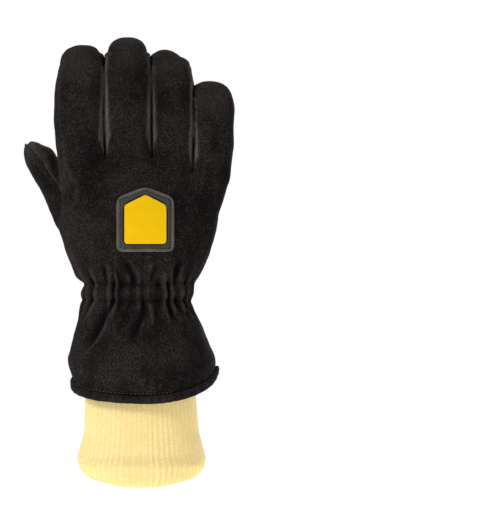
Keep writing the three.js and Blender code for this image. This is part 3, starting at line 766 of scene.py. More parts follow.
# Folds of the two faces: upper end, bend and lower end as x and z, depth and half width, in millimetres.
BACK_FOLDS = (
    ((-34, 142), (-41, 132), (-47, 122), -1.3, 1.7),
    ((-17.4, 141), (-27, 132), (-28, 121), -1.9, 1.9),
    ((-28, 123), (-33, 110), (-47, 96), -1.9, 2.1),
    ((-23, 140), (-33, 126), (-39, 106), 3.0, 3.4),
    ((1.5, 140), (-1.5, 128), (-9, 111), 2.6, 2.2),
    ((-3, 140), (-7, 130), (-14, 117), -1.1, 1.8),
    ((-10, 140), (-14, 128), (-21, 112), 1.1, 2.2),
    ((4.5, 140), (7, 130), (7.5, 120), -1.0, 1.6),
    ((9, 140), (11.5, 131), (13, 122), 1.4, 1.6),
    ((13, 140.5), (16.6, 133), (21, 122), -1.2, 1.5),
    ((17.4, 140.5), (21, 133), (26.4, 124), 1.5, 1.5),
    ((21, 140.5), (25.7, 133.7), (30, 126), -1.1, 1.3),
    ((25, 141), (28.7, 135), (33, 129), 1.5, 1.3),
    ((27.2, 141), (31.7, 134), (38.5, 128), -1.5, 1.4),
    ((30, 142), (35, 135), (42, 127), 1.4, 1.3),
    ((33, 142), (36.5, 134), (44, 125), -1.2, 1.3),
    ((30, 122), (37, 112), (44, 103), 0.9, 4.0),
    ((-39, 155), (-42, 161), (-45, 167), 1.3, 1.7),
    ((-27, 154), (-28, 160), (-30, 168), 1.8, 2.0),
    ((-23, 154), (-25, 162), (-28, 170), -0.9, 1.7),
    ((-16.6, 154), (-18, 160), (-20.5, 166), 1.4, 1.6),
    ((-5.3, 154), (-8.3, 162), (-15, 173), 2.2, 2.3),
    ((-2.3, 155), (-4.5, 162), (-9, 170), -0.9, 1.6),
    ((5.3, 154), (6.8, 160), (10, 168), 2.0, 1.8),
    ((16.6, 154), (19, 160), (21.5, 167), -0.9, 1.6),
    ((22, 154), (25, 162), (28.5, 171), 2.3, 2.1),
    ((33, 155), (35.5, 160), (39.5, 167), 1.3, 1.6),
)

PALM_FOLDS = (
    ((-14, 139), (-28, 133), (-39, 140), 2.3, 2.2),
    ((-15, 142), (-30, 138), (-42, 148), -1.2, 1.8),
    ((-16, 149), (-31, 150), (-43, 161), 1.8, 2.2),
    ((-13, 133), (-26, 123), (-42, 122), 1.5, 2.4),
    ((-13, 125), (-24, 113), (-38, 108), 0.9, 2.6),
    ((6, 138), (6, 128), (8, 116), 1.6, 2.0),
    ((12, 138), (13, 128), (17, 114), 1.8, 2.2),
    ((20, 139), (23, 129), (28, 117), 1.7, 2.2),
    ((28, 140), (32, 131), (38, 121), 1.6, 2.0),
    ((-1, 136), (0, 126), (-1, 112), 1.1, 2.4),
    ((5, 150), (6, 160), (9, 172), 0.8, 3.0),
    ((14, 150), (17, 161), (21, 172), 0.9, 3.0),
    ((24, 150), (28, 160), (34, 172), 0.9, 3.0),
)

CREASES = [
    Crease(side, *row) for side, rows in ((Side.BACK, BACK_FOLDS), (Side.PALM, PALM_FOLDS)) for row in rows
]


def push_outline(bm: Mesh, shape: Shape) -> None:
    """Pushes a mesh of the glove into the photograph's outline.

    Args:
        bm: the mesh.
        shape: levels and outlines of the glove.
    """
    places = coordinates(bm)
    moves = sum(nudge.push(places) for nudge in NUDGES)
    moves[:, 2] += shape.settle(places)
    for vertex, move in zip(bm.verts, moves):
        vertex.co += Vector(move)


@dataclass(frozen=True)
class Gathers:
    """The pleats at the wrist, drawn in by two rows of elastic on the back and by one on the palm.

    Attributes:
        shape: levels and outlines of the glove.
        pleats: pleats round the whole wrist.
        depth: from crest to valley.
        valley: share of a pleat's depth that lies under the surface.
        below: how far they run down from the lower row.
        above: how far they run up from the upper row on the back.
        above_palm: how far they run up from the lower row on the palm.
        palm_share: how strong they are on the palm.
        blend: width of the change between back, side and palm, in millimetres.
        row_depth: how deep a row is drawn in.
        row_width: half width of its groove.
        row_sway: how far it wanders up and down.
        puff: how high the leather swells between the rows.
        puff_width: half width of that swelling.
        waist: how far the wrist is drawn in where it has no pleats.
        waist_width: half width of that.
    """

    shape: Shape
    pleats: int = 27
    depth: float = 3.0 * MM
    valley: float = 0.42
    below: float = 20 * MM
    above: float = 22 * MM
    above_palm: float = 18 * MM
    palm_share: float = 0.7
    blend: float = 8
    row_depth: float = 0.6 * MM
    row_width: float = 1.5 * MM
    row_sway: float = 0.7 * MM
    puff: float = 0.35 * MM
    puff_width: float = 3.8 * MM
    waist: float = 0.5 * MM
    waist_width: float = 9 * MM

    def push(self, places: Array) -> Array:
        """Works out the moves of all places along their normals.

        Args:
            places: the places, as rows.

        Returns:
            The moves in metres.
        """
        z = places[:, 2]
        girth = self.shape.girth(places)
        bearing = girth * 2 * np.pi
        on_back = np.clip((-places[:, 1] / MM + 6) / self.blend, 0, 1)
        on_palm = self.palm_share * np.clip((places[:, 0] / MM + 2) / self.blend, 0, 1)
        strength = np.maximum(on_back, on_palm)
        low, high = self.shape.low_elastic, self.shape.high_elastic
        below = np.clip((z - (low - self.below)) / self.below, 0, 1)
        above = np.clip(((high + self.above) - z) / self.above, 0, 1)
        short = np.clip(((low + self.above_palm) - z) / self.above_palm, 0, 1)
        above = short + (above - short) * on_back
        reach = np.minimum(below, above) ** 1.5
        lean = lumps(places * np.array([1, 1, 0.5]), 14 * MM, 3.1) * 0.3
        drift = 0.16 * np.sin(bearing * 5 + 0.8) + 0.1 * np.sin(bearing * 11 + 2.1)
        phase = girth * self.pleats + drift + lean
        index = np.floor(phase)
        size = 0.45 + 0.75 * np.abs(np.sin(index * 12.9898 + 4.1))
        ridge = (1 - np.abs(2 * (phase - index) - 1)) ** 1.25
        moves = self.depth * (ridge * size - self.valley) * reach * strength
        for level, share in ((low, strength), (high, on_back)):
            row = level + self.row_sway * np.sin(bearing * 3 + level * 900)
            moves -= self.row_depth * share * bell(z - row, self.row_width)
        middle = (low + high) / 2
        moves += self.puff * on_back * bell(z - middle, self.puff_width)
        moves -= self.waist * (1 - strength) * bell(z - middle, self.waist_width)
        return moves


@dataclass
class LeatherShell:
    """The leather panels, made from one skin over the frame's panels.

    Attributes:
        shape: levels and outlines of the glove.
        touch: the widest half gap between two fingers that is closed, so that neighbours touch.
        voxel: length of the skin's faces.
        inflate: how far the frame's panels are grown so that the skin closes their gaps.
        proud: how far the finished skin stands off the frame's panels.
        rounds: rounds of smoothing.
        groove: how deep a seam is drawn in, in millimetres, and half the groove's width.
        roll: how high the leather swells beside a seam, how far from it and how wide, in millimetres.
        uneven: the leather's lumps: height and size in millimetres, and seed.
        tucks: how the skin runs down behind the hem: drop and way inward in millimetres.
        tips: x and z of the fingertips, near which the leather is painted lighter, in millimetres.
        wall: thickness of the leather.
        slots: material slot of each panel.
        joins: panels that run on into another one through the gathers, without a seam that shows.
        finishes: finish of each slot.
        surface: the finished skin, once it is built.
    """

    shape: Shape
    touch: float = 2.1 * MM
    voxel: float = 1.15 * MM
    inflate: float = 0.8 * MM
    proud: float = 0.25 * MM
    rounds: int = 14
    groove: Pair = (1.0, 1.2)
    roll: Triple = (0.5, 3.2, 1.8)
    uneven: tuple[Triple, ...] = ((0.5, 17, 1.3), (0.28, 7, 5.3), (0.12, 3.2, 8.9))
    tucks: tuple[Pair, ...] = ((1.2, 0.1), (2.4, 1.4))
    tips: tuple[Pair, ...] = ((-49, 322), (-12.5, 329), (19, 320), (52, 296), (-90, 262))
    wall: float = 1.9 * MM
    slots: dict[str, str] = field(
        default_factory=lambda: {
            "back_panel": "suede",
            "cuff_back": "suede",
            "palm_panel": "palm_leather",
            "thumb_front": "palm_leather",
            "thumb_heel": "suede",
            "cuff_thumb_side": "suede",
            "index_side_strip": "suede",
            "strip_index_middle": "strip_leather",
            "strip_middle_ring": "strip_leather",
            "strip_ring_little": "strip_leather",
        }
    )
    joins: dict[str, str] = field(
        default_factory=lambda: {"cuff_back": "back_panel", "cuff_thumb_side": "thumb_heel"}
    )
    finishes: dict[str, SuedeFinish] = field(
        default_factory=lambda: {
            "suede": SuedeFinish(
                "suede", (0.003, 0.0026, 0.0024), (0.024, 0.02, 0.0188), (0.052, 0.0455, 0.042)
            ),
            "palm_leather": SuedeFinish(
                "palm_leather", (0.0048, 0.0041, 0.0038), (0.029, 0.025, 0.0225), (0.072, 0.063, 0.056), 0.4
            ),
            "strip_leather": SuedeFinish(
                "strip_leather", (0.05, 0.043, 0.036), (0.115, 0.1, 0.085), (0.12, 0.105, 0.09), 0.0
            ),
        }
    )
    surface: BVHTree | None = None

    def skin(self, nodes: dict[str, Thing]) -> Mesh:
        """Lays the skin over all panels and keeps its outer side.

        Args:
            nodes: the frame's nodes.

        Returns:
            The open skin, down to the hem.
        """
        whole = bmesh.new()
        for name in self.slots:
            part = merged(nodes[name])
            move_along_normals(part, np.full(len(part.verts), self.inflate))
            mesh = bpy.data.meshes.new("part")
            part.to_mesh(mesh)
            part.free()
            whole.from_mesh(mesh)
            bpy.data.meshes.remove(mesh)
        bm = remeshed(whole, self.voxel)
        hem = tree_of(nodes["cuff_hem"])
        low = self.shape.hem_seam + 8 * MM
        rim = []
        for face in bm.faces:
            middle = face.calc_center_median()
            if middle.z < low and hem.find_nearest(middle)[3] < 1.2 * MM:
                rim.append(face)
        bmesh.ops.delete(bm, geom=rim, context="FACES")
        self.keep_outer(bm)
        self.tuck(bm, hem)
        return bm

    @staticmethod
    def keep_outer(bm: Mesh) -> None:
        """Deletes all that isn't joined to the topmost vertex."""
        top = max(bm.verts, key=lambda v: v.co.z)
        reached = {top}
        front = [top]
        while front:
            vertex = front.pop()
            for edge in vertex.link_edges:
                other = edge.other_vert(vertex)
                if other not in reached:
                    reached.add(other)
                    front.append(other)
        bmesh.ops.delete(bm, geom=[v for v in bm.verts if v not in reached], context="VERTS")

    def tuck(self, bm: Mesh, hem: BVHTree) -> None:
        """Evens the skin's lower edge and runs it down behind the hem.

        Args:
            bm: the skin.
            hem: the hem's surface.
        """
        rim = {v for e in bm.edges if e.is_boundary for v in e.verts}
        for vertex in rim:
            vertex.co.z = hem.find_nearest(vertex.co)[0].z + 1.1 * MM
        for drop, inward in self.tucks:
            edges = [e for e in bm.edges if e.is_boundary]
            made = bmesh.ops.extrude_edge_only(bm, edges=edges)["geom"]
            for vertex in (g for g in made if isinstance(g, bmesh.types.BMVert)):
                flat = Vector((vertex.co.x, vertex.co.y, 0)).normalized()
                vertex.co -= flat * inward * MM
                vertex.co.z -= drop * MM

    def measure(self, bm: Mesh, trees: dict[str, BVHTree]) -> tuple[Array, Array, Array]:
        """Finds the panel that each vertex belongs to and how far the next one is.

        Args:
            bm: the skin.
            trees: the panels' surfaces.

        Returns:
            The panel's number, the distance to the next panel, and the nearest point of that panel.
        """
        names = list(self.slots)
        reach = 9 * MM
        gaps = np.full((len(bm.verts), len(names)), reach)
        spots = np.zeros((len(bm.verts), len(names), 3))
        for j, name in enumerate(names):
            for i, vertex in enumerate(bm.verts):
                spot, _, _, gap = trees[name].find_nearest(vertex.co, reach)
                if spot is not None:
                    gaps[i, j] = gap
                    spots[i, j] = spot
        rows = np.arange(len(gaps))
        for part, whole in self.joins.items():
            a, b = names.index(part), names.index(whole)
            nearer = gaps[:, a] < gaps[:, b]
            gaps[nearer, b], spots[nearer, b] = gaps[nearer, a], spots[nearer, a]
            gaps[:, a] = reach * 2
        own = gaps.argmin(axis=1)
        gaps[rows, own] = reach * 2
        other = gaps.argmin(axis=1)
        return own, gaps[rows, other], spots[rows, other]

    def build(self, nodes: dict[str, Thing]) -> list[Thing]:
        """Builds all panels.

        Args:
            nodes: the frame's nodes.

        Returns:
            The panels.
        """
        bm = self.skin(nodes)
        LOG.info("skin: %d faces", len(bm.faces))
        smooth(bm, self.rounds)
        trees = {name: tree_of(nodes[name]) for name in self.slots}
        own, gap, spot = self.measure(bm, trees)
        places, facing = coordinates(bm), normals(bm)
        folds = sum((crease.push(places, facing[:, 1]) for crease in CREASES), Gathers(self.shape).push(places))
        moves = self.relief(places, facing, gap) + folds
        labels = self.face_labels(bm, own)
        self.snap_borders(bm, labels, facing, spot)
        move_along_normals(bm, moves)
        push_outline(bm, self.shape)
        cleft = self.close_fingers(bm, 0.0)
        smooth(bm, 1, 0.4)
        cleft = np.maximum(cleft, self.close_fingers(bm, 0.3 * MM))
        swell = convexity(bm, 6)
        hem = tree_of(nodes["cuff_hem"])
        above = np.array([hem.find_nearest(place)[3] for place in places])
        hollow = np.where(places[:, 2] < self.shape.high_elastic + 30 * MM, -swell, 0)
        # Painted shade: the clefts between fingers, the fold valleys, the hollows near the wrist and the
        # leather next to the hem are painted dark.
        deep = np.maximum.reduce([
            cleft, -folds / (2.2 * MM), (hollow - 0.1 * MM) / (0.5 * MM), 0.9 * bell(above, 1.6 * MM)
        ])
        paint(bm, seam=gap / MM, wear=self.tips_and_highlight(places, swell), deep=np.clip(deep, 0, 1))
        self.surface = BVHTree.FromBMesh(bm)
        materials = {slot: finish.build() for slot, finish in self.finishes.items()}
        made = []
        for j, (name, slot) in enumerate(self.slots.items()):
            if name in self.joins:
                continue
            part = bm.copy()
            part.faces.ensure_lookup_table()
            others = [face for face in part.faces if labels[face.index] != j]
            bmesh.ops.delete(part, geom=others, context="FACES")
            obj = as_piece(part, name + "_skin", materials[slot])
            wall = obj.modifiers.new("wall", "SOLIDIFY")
            wall.thickness = self.wall
            wall.offset = -1
            joined = [part for part, whole in self.joins.items() if whole == name]
            made.append(declare(obj, slot, name, *joined))
        bm.free()
        return made

    def close_fingers(self, bm: Mesh, press: float) -> Array:
        """Widens the fingers to the sides until neighbours touch, as padded fingers do.

        Args:
            bm: the skin.
            press: how hard they press against each other, in metres.

        Returns:
            How deep in the cleft between two fingers each vertex is, between 0 and 1.
        """
        places, facing = coordinates(bm), normals(bm)
        cleft = np.zeros(len(places))
        shift = np.zeros(len(places))
        x, z, side_x = places[:, 0], places[:, 2], facing[:, 0]
        for name in ("strip_index_middle", "strip_middle_ring", "strip_ring_little"):
            lo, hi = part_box(name)
            crotch = lo.z
            guess = (lo.x + hi.x) / 2
            near = (np.abs(x - guess) < 9 * MM) & (z > crotch)
            levels = np.arange(crotch + 6 * MM, z[near].max(), 1.5 * MM)
            left, right = [], []
            for level in levels:
                row = near & (np.abs(z - level) < 1.5 * MM) & (np.abs(side_x) > 0.55)
                ours = x[row & (side_x > 0) & (x < guess + 2.5 * MM)]
                theirs = x[row & (side_x < 0) & (x > guess - 2.5 * MM)]
                left.append(ours.max() if len(ours) else np.nan)
                right.append(theirs.min() if len(theirs) else np.nan)
            left, right = np.array(left), np.array(right)
            known = ~np.isnan(left) & ~np.isnan(right)
            centre = np.interp(z, levels[known], (left[known] + right[known]) / 2)
            half = np.interp(z, levels[known], (right[known] - left[known]) / 2)
            side = np.clip((np.abs(side_x) - 0.3) / 0.5, 0, 1)
            towards = near & (np.sign(centre - x) == np.sign(side_x)) & (half > 0)
            fade = np.clip((self.touch - half) / (0.7 * MM), 0, 1)
            shift += towards * side * fade * (half + press) * np.sign(side_x)
            within = near & (z > levels[known][0]) & (np.abs(side_x) > 0.3)
            away = np.abs(centre - x - shift)
            cleft = np.maximum(cleft, within * bell(away, 0.9 * MM))
        for vertex, move in zip(bm.verts, shift):
            vertex.co.x += move
        return cleft

    def relief(self, places: Array, facing: Array, gap: Array) -> Array:
        """Adds up the grooves along the seams and the leather's unevenness.

        Args:
            places: the vertices' places.
            facing: their normals.
            gap: their distances to the next panel.

        Returns:
            Moves along the normals in metres.
        """
        moves = np.full(len(places), self.proud - self.inflate)
        open_side = 1 - 0.75 * np.abs(facing[:, 0]) ** 2
        deep, wide = self.groove
        moves -= deep * MM * open_side * bell(gap / MM, wide)
        high, off, wide = self.roll
        moves += high * MM * open_side * bell(gap / MM - off, wide)
        for height, size, seed in self.uneven:
            moves += height * MM * lumps(places, size * MM, seed)
        return moves

    def tips_and_highlight(self, places: Array, swell: Array) -> Array:
        """Finds how much lighter each place is painted: lighter near the fingertips, with painted highlights on
        the crests of the folds.

        Args:
            places: the vertices' places.
            swell: how far they stand out of their surroundings.

        Returns:
            Shares between 0 and 1.
        """
        tips = np.array(self.tips) * MM
        near = np.min(np.linalg.norm(places[:, None, [0, 2]] - tips[None], axis=2), axis=1)
        tip_tone = 0.42 * np.clip(1 - near / (22 * MM), 0, 1)
        # Painted highlight: the crests, which stand out of their surroundings, are painted lighter.
        return np.clip(tip_tone + 0.55 * np.clip((swell - 0.2 * MM) / (0.3 * MM), 0, 1), 0, 1)

    @staticmethod
    def face_labels(bm: Mesh, own: Array) -> Array:
        """Gives each face the panel of most of its vertices.

        Args:
            bm: the skin.
            own: panel of each vertex.

        Returns:
            A panel number for each face.
        """
        bm.verts.index_update()
        bm.faces.index_update()
        labels = np.zeros(len(bm.faces), int)
        for face in bm.faces:
            near = [int(own[v.index]) for v in face.verts]
            labels[face.index] = max(set(near), key=lambda k: (near.count(k), -k))
        return labels

    @staticmethod
    def snap_borders(bm: Mesh, labels: Array, facing: Array, spot: Array) -> None:
        """Slides the vertices between two panels onto the seam, so that its line is even.

        Args:
            bm: the skin.
            labels: panel of each face.
            facing: the vertices' normals.
            spot: nearest point of the next panel.
        """
        for vertex in bm.verts:
            kinds = {int(labels[f.index]) for f in vertex.link_faces}
            if len(kinds) < 2:
                continue
            move = Vector(spot[vertex.index]) - vertex.co
            normal = Vector(facing[vertex.index])
            move -= normal * move.dot(normal)
            if move.length < 1.6 * MM:
                vertex.co += move * 0.9


# Hem, knit, guard and badge


@dataclass
class Hem:
    """The rolled binding round the cuff's lower edge.

    Attributes:
        voxel: length of its faces.
        grow: how far it is puffed up.
        finish: its finish.
    """

    voxel: float = 0.8 * MM
    grow: float = 0.35 * MM
    finish: SuedeFinish = SuedeFinish(
        "hem_suede", (0.0035, 0.003, 0.0028), (0.022, 0.0185, 0.0175), (0.05, 0.044, 0.041)
    )

    def build(self, node: Thing, shape: Shape) -> Thing:
        """Builds the hem.

        Args:
            node: the frame's hem.
            shape: levels and outlines of the glove.

        Returns:
            The piece.
        """
        bm = remeshed(merged(node), self.voxel)
        smooth(bm, 6)
        places = coordinates(bm)
        angle = np.arctan2(places[:, 1], places[:, 0])
        pucker = np.sin(angle * 46 + 3 * lumps(places, 22 * MM, 2.2))
        moves = self.grow + 0.07 * MM * pucker + 0.3 * MM * lumps(places, 13 * MM, 6.1)
        move_along_normals(bm, moves)
        push_outline(bm, shape)
        smooth(bm, 1, 0.4)
        bearings = np.linspace(-math.pi, math.pi, 181)
        top = shape.hem_seam + np.array([shape.rise(float(a)) for a in bearings])
        under = (np.interp(angle, bearings, top) - places[:, 2]) / MM
        # Lighter tone with painted highlights on the crests of the puckers; painted shade along the hem's upper
        # edge, under the leather.
        paint(bm, seam=NO_SEAM, wear=0.14 + 0.08 * pucker, deep=np.clip(1.3 - under / 1.5, 0, 1))
        return declare(as_piece(bm, "hem_roll", self.finish.build()), "suede", "cuff_hem")


@dataclass(frozen=True)
class Bore:
    """The inner wall of the frame's knit, measured from an upright axis.

    Attributes:
        axis: where the axis lies across.
        levels: heights at which it was measured.
        bearings: bearings at which it was measured.
        radii: distances from the axis, by level and bearing.
        length: share of the way round at each bearing.
    """

    axis: float
    levels: Array
    bearings: Array
    radii: Array
    length: Array

    @classmethod
    def measured(cls, node: Thing, axis: float = -1 * MM) -> "Bore":
        """Measures a frame node.

        Args:
            node: the frame's knit.
            axis: where the axis lies across.

        Returns:
            The bore.
        """
        tree = tree_of(node)
        levels = np.linspace(12 * MM, 142 * MM, 27)
        bearings = np.linspace(-math.pi, math.pi, 121)
        radii = np.zeros((len(levels), len(bearings)))
        for i, z in enumerate(levels):
            for j, angle in enumerate(bearings):
                way = Vector((math.cos(angle), math.sin(angle), 0))
                spot, _, _, distance = tree.ray_cast(Vector((axis, 0, z)), way)
                radii[i, j] = 0.0 if spot is None else distance
        ring = np.stack([np.cos(bearings), np.sin(bearings)], 1) * radii[5][:, None]
        length = np.concatenate([[0], np.cumsum(np.hypot(*np.diff(ring, axis=0).T))])
        return cls(axis, levels, bearings, radii, length / length[-1])

    def radius(self, angle: float, z: float) -> float:
        """Returns how far the wall is from the axis at a bearing and a height."""
        step = self.levels[1] - self.levels[0]
        k = int(np.clip((z - self.levels[0]) // step, 0, len(self.levels) - 2))
        share = np.clip((z - self.levels[0]) / step, 0, len(self.levels) - 1.001) % 1
        low, high = (np.interp(angle, self.bearings, self.radii[i]) for i in (k, k + 1))
        return low + (high - low) * share


@dataclass
class Knit:
    """The ribbed knitted wrist, doubled over at its mouth.

    Attributes:
        ribs: ribs round it.
        columns: columns of faces to a rib.
        top: height of its sewn end.
        wall: thickness.
        rib: height of a rib.
        flare: how far it widens at its mouth, but not under the guard.
        flare_top: where that starts.
        flare_run: over which height it widens.
        hug: how far its edge is drawn in again.
        hug_run: over which height that fades.
        sway: how uneven it is.
        sway_top: up to which height.
        outer_rows: rows of faces outside.
        edge_rows: rows round the mouth's edge.
        inner_rows: rows inside.
        finish: its finish.
    """

    ribs: int = 60
    columns: int = 7
    top: float = 144.0 * MM
    wall: float = 2.7 * MM
    rib: float = 0.45 * MM
    flare: float = 3.4 * MM
    flare_top: float = 25 * MM
    flare_run: float = 13 * MM
    hug: float = 4.2 * MM
    hug_run: float = 3.2 * MM
    sway: float = 0.6 * MM
    sway_top: float = 80 * MM
    outer_rows: int = 84
    edge_rows: int = 8
    inner_rows: int = 24
    finish: YarnFinish = YarnFinish("knit", (0.88, 0.73, 0.38), (0.78, 0.58, 0.2), 78.0)

    def build(self, node: Thing, shape: Shape) -> Thing:
        """Builds the knit.

        Args:
            node: the frame's knit.
            shape: levels and outlines of the glove.

        Returns:
            The piece.
        """
        bore = Bore.measured(node)
        rows = self.outer_rows + self.edge_rows + self.inner_rows
        count = self.ribs * self.columns
        bm = bmesh.new()
        bmesh.ops.create_grid(bm, x_segments=count, y_segments=rows, size=0.5, calc_uvs=False)
        uv = bm.loops.layers.uv.new("UVMap")
        for vertex in bm.verts:
            u, v = vertex.co.x + 0.5, vertex.co.y + 0.5
            vertex.co = self.at(u, v * rows, bore, shape)
        bm.verts.ensure_lookup_table()
        for face in bm.faces:
            for loop in face.loops:
                i = loop.vert.index
                loop[uv].uv = (i % (count + 1) / self.columns, i // (count + 1) / rows)
        bmesh.ops.remove_doubles(bm, verts=bm.verts, dist=0.02 * MM)
        bmesh.ops.recalc_face_normals(bm, faces=bm.faces)
        return declare(as_piece(bm, "knit_tube", self.finish.build()), "knit", "knit_wrist")

    def at(self, u: float, row: float, bore: Bore, shape: Shape) -> Vector:
        """Finds a place on the knit.

        Args:
            u: share of the way round.
            row: row, from the sewn end down the outside, round the edge and up the inside.
            bore: the frame's inner wall.
            shape: levels and outlines of the glove.

        Returns:
            The place.
        """
        angle = float(np.interp(u, bore.length, bore.bearings))
        s = math.sin(angle)
        rise = shape.mouth_rise + ((shape.mouth_palm if s > 0 else 0) - shape.mouth_rise) * abs(s)
        half = self.wall / 2
        foot = rise + half
        if row < self.outer_rows:
            z = self.top + (foot - self.top) * row / self.outer_rows
            out = self.wall
        elif row < self.outer_rows + self.edge_rows:
            turn = math.pi * (row - self.outer_rows) / self.edge_rows
            z = foot - half * math.sin(turn)
            out = half + half * math.cos(turn)
        else:
            z = foot + (self.top - foot) * (row - self.outer_rows - self.edge_rows) / self.inner_rows
            out = 0.0
        share = min(max((self.flare_top - z) / self.flare_run, 0), 1)
        beside = 1 - min(max((s - 0.15) / 0.45, 0), 1)
        drawn = self.hug * math.exp(-max(z - rise, 0) / self.hug_run)
        drawn -= self.flare * share * share * (3 - 2 * share) * beside
        rib = u * self.ribs + 0.3 * math.sin(u * 46) + 0.2 * math.sin(u * 117)
        wave = abs(math.cos(math.pi * rib)) ** 0.8
        tight = 0.35 if out == 0 else 1.0
        relief = self.rib * tight * (wave - 1) * (1 if out > half or out == 0 else 0.6)
        sway = self.sway * noise.noise(Vector((math.cos(angle) * 2, math.sin(angle) * 2, z / (30 * MM))))
        reach = bore.radius(angle, z) + out + relief + (sway if z < self.sway_top else 0) - drawn
        return Vector((bore.axis + math.cos(angle) * reach, math.sin(angle) * reach, z))


@dataclass
class Guard:
    """The leather tongue over the pulse.

    Attributes:
        voxel: length of its faces.
        surface: the finished tongue, once it is built.
        finish: its finish.
    """

    voxel: float = 0.62 * MM
    surface: BVHTree | None = None
    finish: SuedeFinish = SuedeFinish(
        "guard_leather", (0.008, 0.007, 0.0066), (0.036, 0.032, 0.0295), (0.09, 0.08, 0.07)
    )

    def build(self, node: Thing) -> Thing:
        """Builds the guard.

        Args:
            node: the frame's guard.

        Returns:
            The piece.
        """
        bm = remeshed(merged(node), self.voxel)
        smooth(bm, 5)
        places = coordinates(bm)
        moves = 0.25 * MM + 0.3 * MM * lumps(places, 15 * MM, 7.7) + 0.12 * MM * lumps(places, 4 * MM, 2.7)
        move_along_normals(bm, moves)
        paint(bm, wear=0.12, seam=NO_SEAM)
        self.surface = BVHTree.FromBMesh(bm)
        piece = as_piece(bm, "pulse_guard_leather", self.finish.build())
        return declare(piece, "palm_leather", "pulse_guard")


@dataclass
class Badge:
    """The five-sided patch on the back of the hand: a stitched leather border round a plain field.

    Attributes:
        peak: height of the gable.
        stitch_inset: from the border's outer edge to its stitches.
        voxel: length of its faces.
        border: finish of the border.
        plate: finish of the field.
        eaves: how far the gable reaches past its box.
        surface: the finished border, once it is built.
    """

    peak: float = 8.4 * MM
    eaves: float = 1.1 * MM
    stitch_inset: float = 2.6 * MM
    voxel: float = 0.45 * MM
    border: PlainFinish = PlainFinish(
        "patch_leather", (0.1, 0.09, 0.071), (0.065, 0.057, 0.046), 0.75, 900, 0.25, band=(0.04, 0.036, 0.031)
    )
    plate: PlainFinish = PlainFinish(
        "badge_yellow", (0.82, 0.5, 0.001), (0.79, 0.475, 0.001), 0.8, 1400, 0.05,
        rim=(0.012, 0.016, 0.05), gloss=0.1
    )
    surface: BVHTree | None = None

    def outline(self, lo: Vector, hi: Vector, inset: float) -> list[Pair]:
        """Returns the corners of the badge's outline, drawn in.

        Args:
            lo: lowest corner of its box.
            hi: highest corner of its box.
            inset: how far it is drawn in.
        """
        top = hi.z + self.eaves
        shoulder = top - self.peak
        slope = self.peak / ((hi.x - lo.x) / 2)
        slant = inset * math.hypot(1, slope) - inset * slope
        return [
            (lo.x + inset, lo.z + inset),
            (lo.x + inset, shoulder - slant),
            ((lo.x + hi.x) / 2, top - inset * math.hypot(1, slope)),
            (hi.x - inset, shoulder - slant),
            (hi.x - inset, lo.z + inset),
        ]

    def edge_gap(self, place: Vector, lo: Vector, hi: Vector) -> float:
        """Returns how far a place is inside the badge's outline.

        Args:
            place: the place.
            lo: lowest corner of its box.
            hi: highest corner of its box.
        """
        middle = (lo.x + hi.x) / 2
        slope = self.peak / ((hi.x - lo.x) / 2)
        roof = hi.z + self.eaves - abs(place.x - middle) * slope
        return min(place.x - lo.x, hi.x - place.x, place.z - lo.z, (roof - place.z) / math.hypot(1, slope))

    def part(self, node: Thing, name: str, finish: PlainFinish, slot: str, lift: float) -> Thing:
        """Builds one of its two pieces.

        Args:
            node: the frame's piece.
            name: name of the new piece.
            finish: its finish.
            slot: handed to declare, which does not use it.
            lift: how far it is puffed up.

        Returns:
            The piece.
        """
        bm = remeshed(merged(node), self.voxel)
        smooth(bm, 3)
        lo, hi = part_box(node.name)
        gaps = np.array([self.edge_gap(v.co, lo, hi) for v in bm.verts])
        groove = bell(gaps - self.stitch_inset, 0.75 * MM) if self.border is finish else 0.0
        move_along_normals(bm, lift + 0.08 * MM * lumps(coordinates(bm), 6 * MM, 3.9) - 0.4 * MM * groove)
        paint(bm, edge=gaps / MM)
        if self.border is finish:
            self.surface = BVHTree.FromBMesh(bm)
        return declare(as_piece(bm, name, finish.build()), slot, node.name)

    def build(self, nodes: dict[str, Thing]) -> list[Thing]:
        """Returns the border and the field."""
        return [
            self.part(nodes["badge_border"], "badge_rim", self.border, "patch_leather", 0.1 * MM),
            self.part(nodes["badge_field"], "badge_plate", self.plate, "badge_yellow", -0.05 * MM),
        ]


# Stitching

# How far off the middle a row on one face starts.
FAR_OFF = 0.12


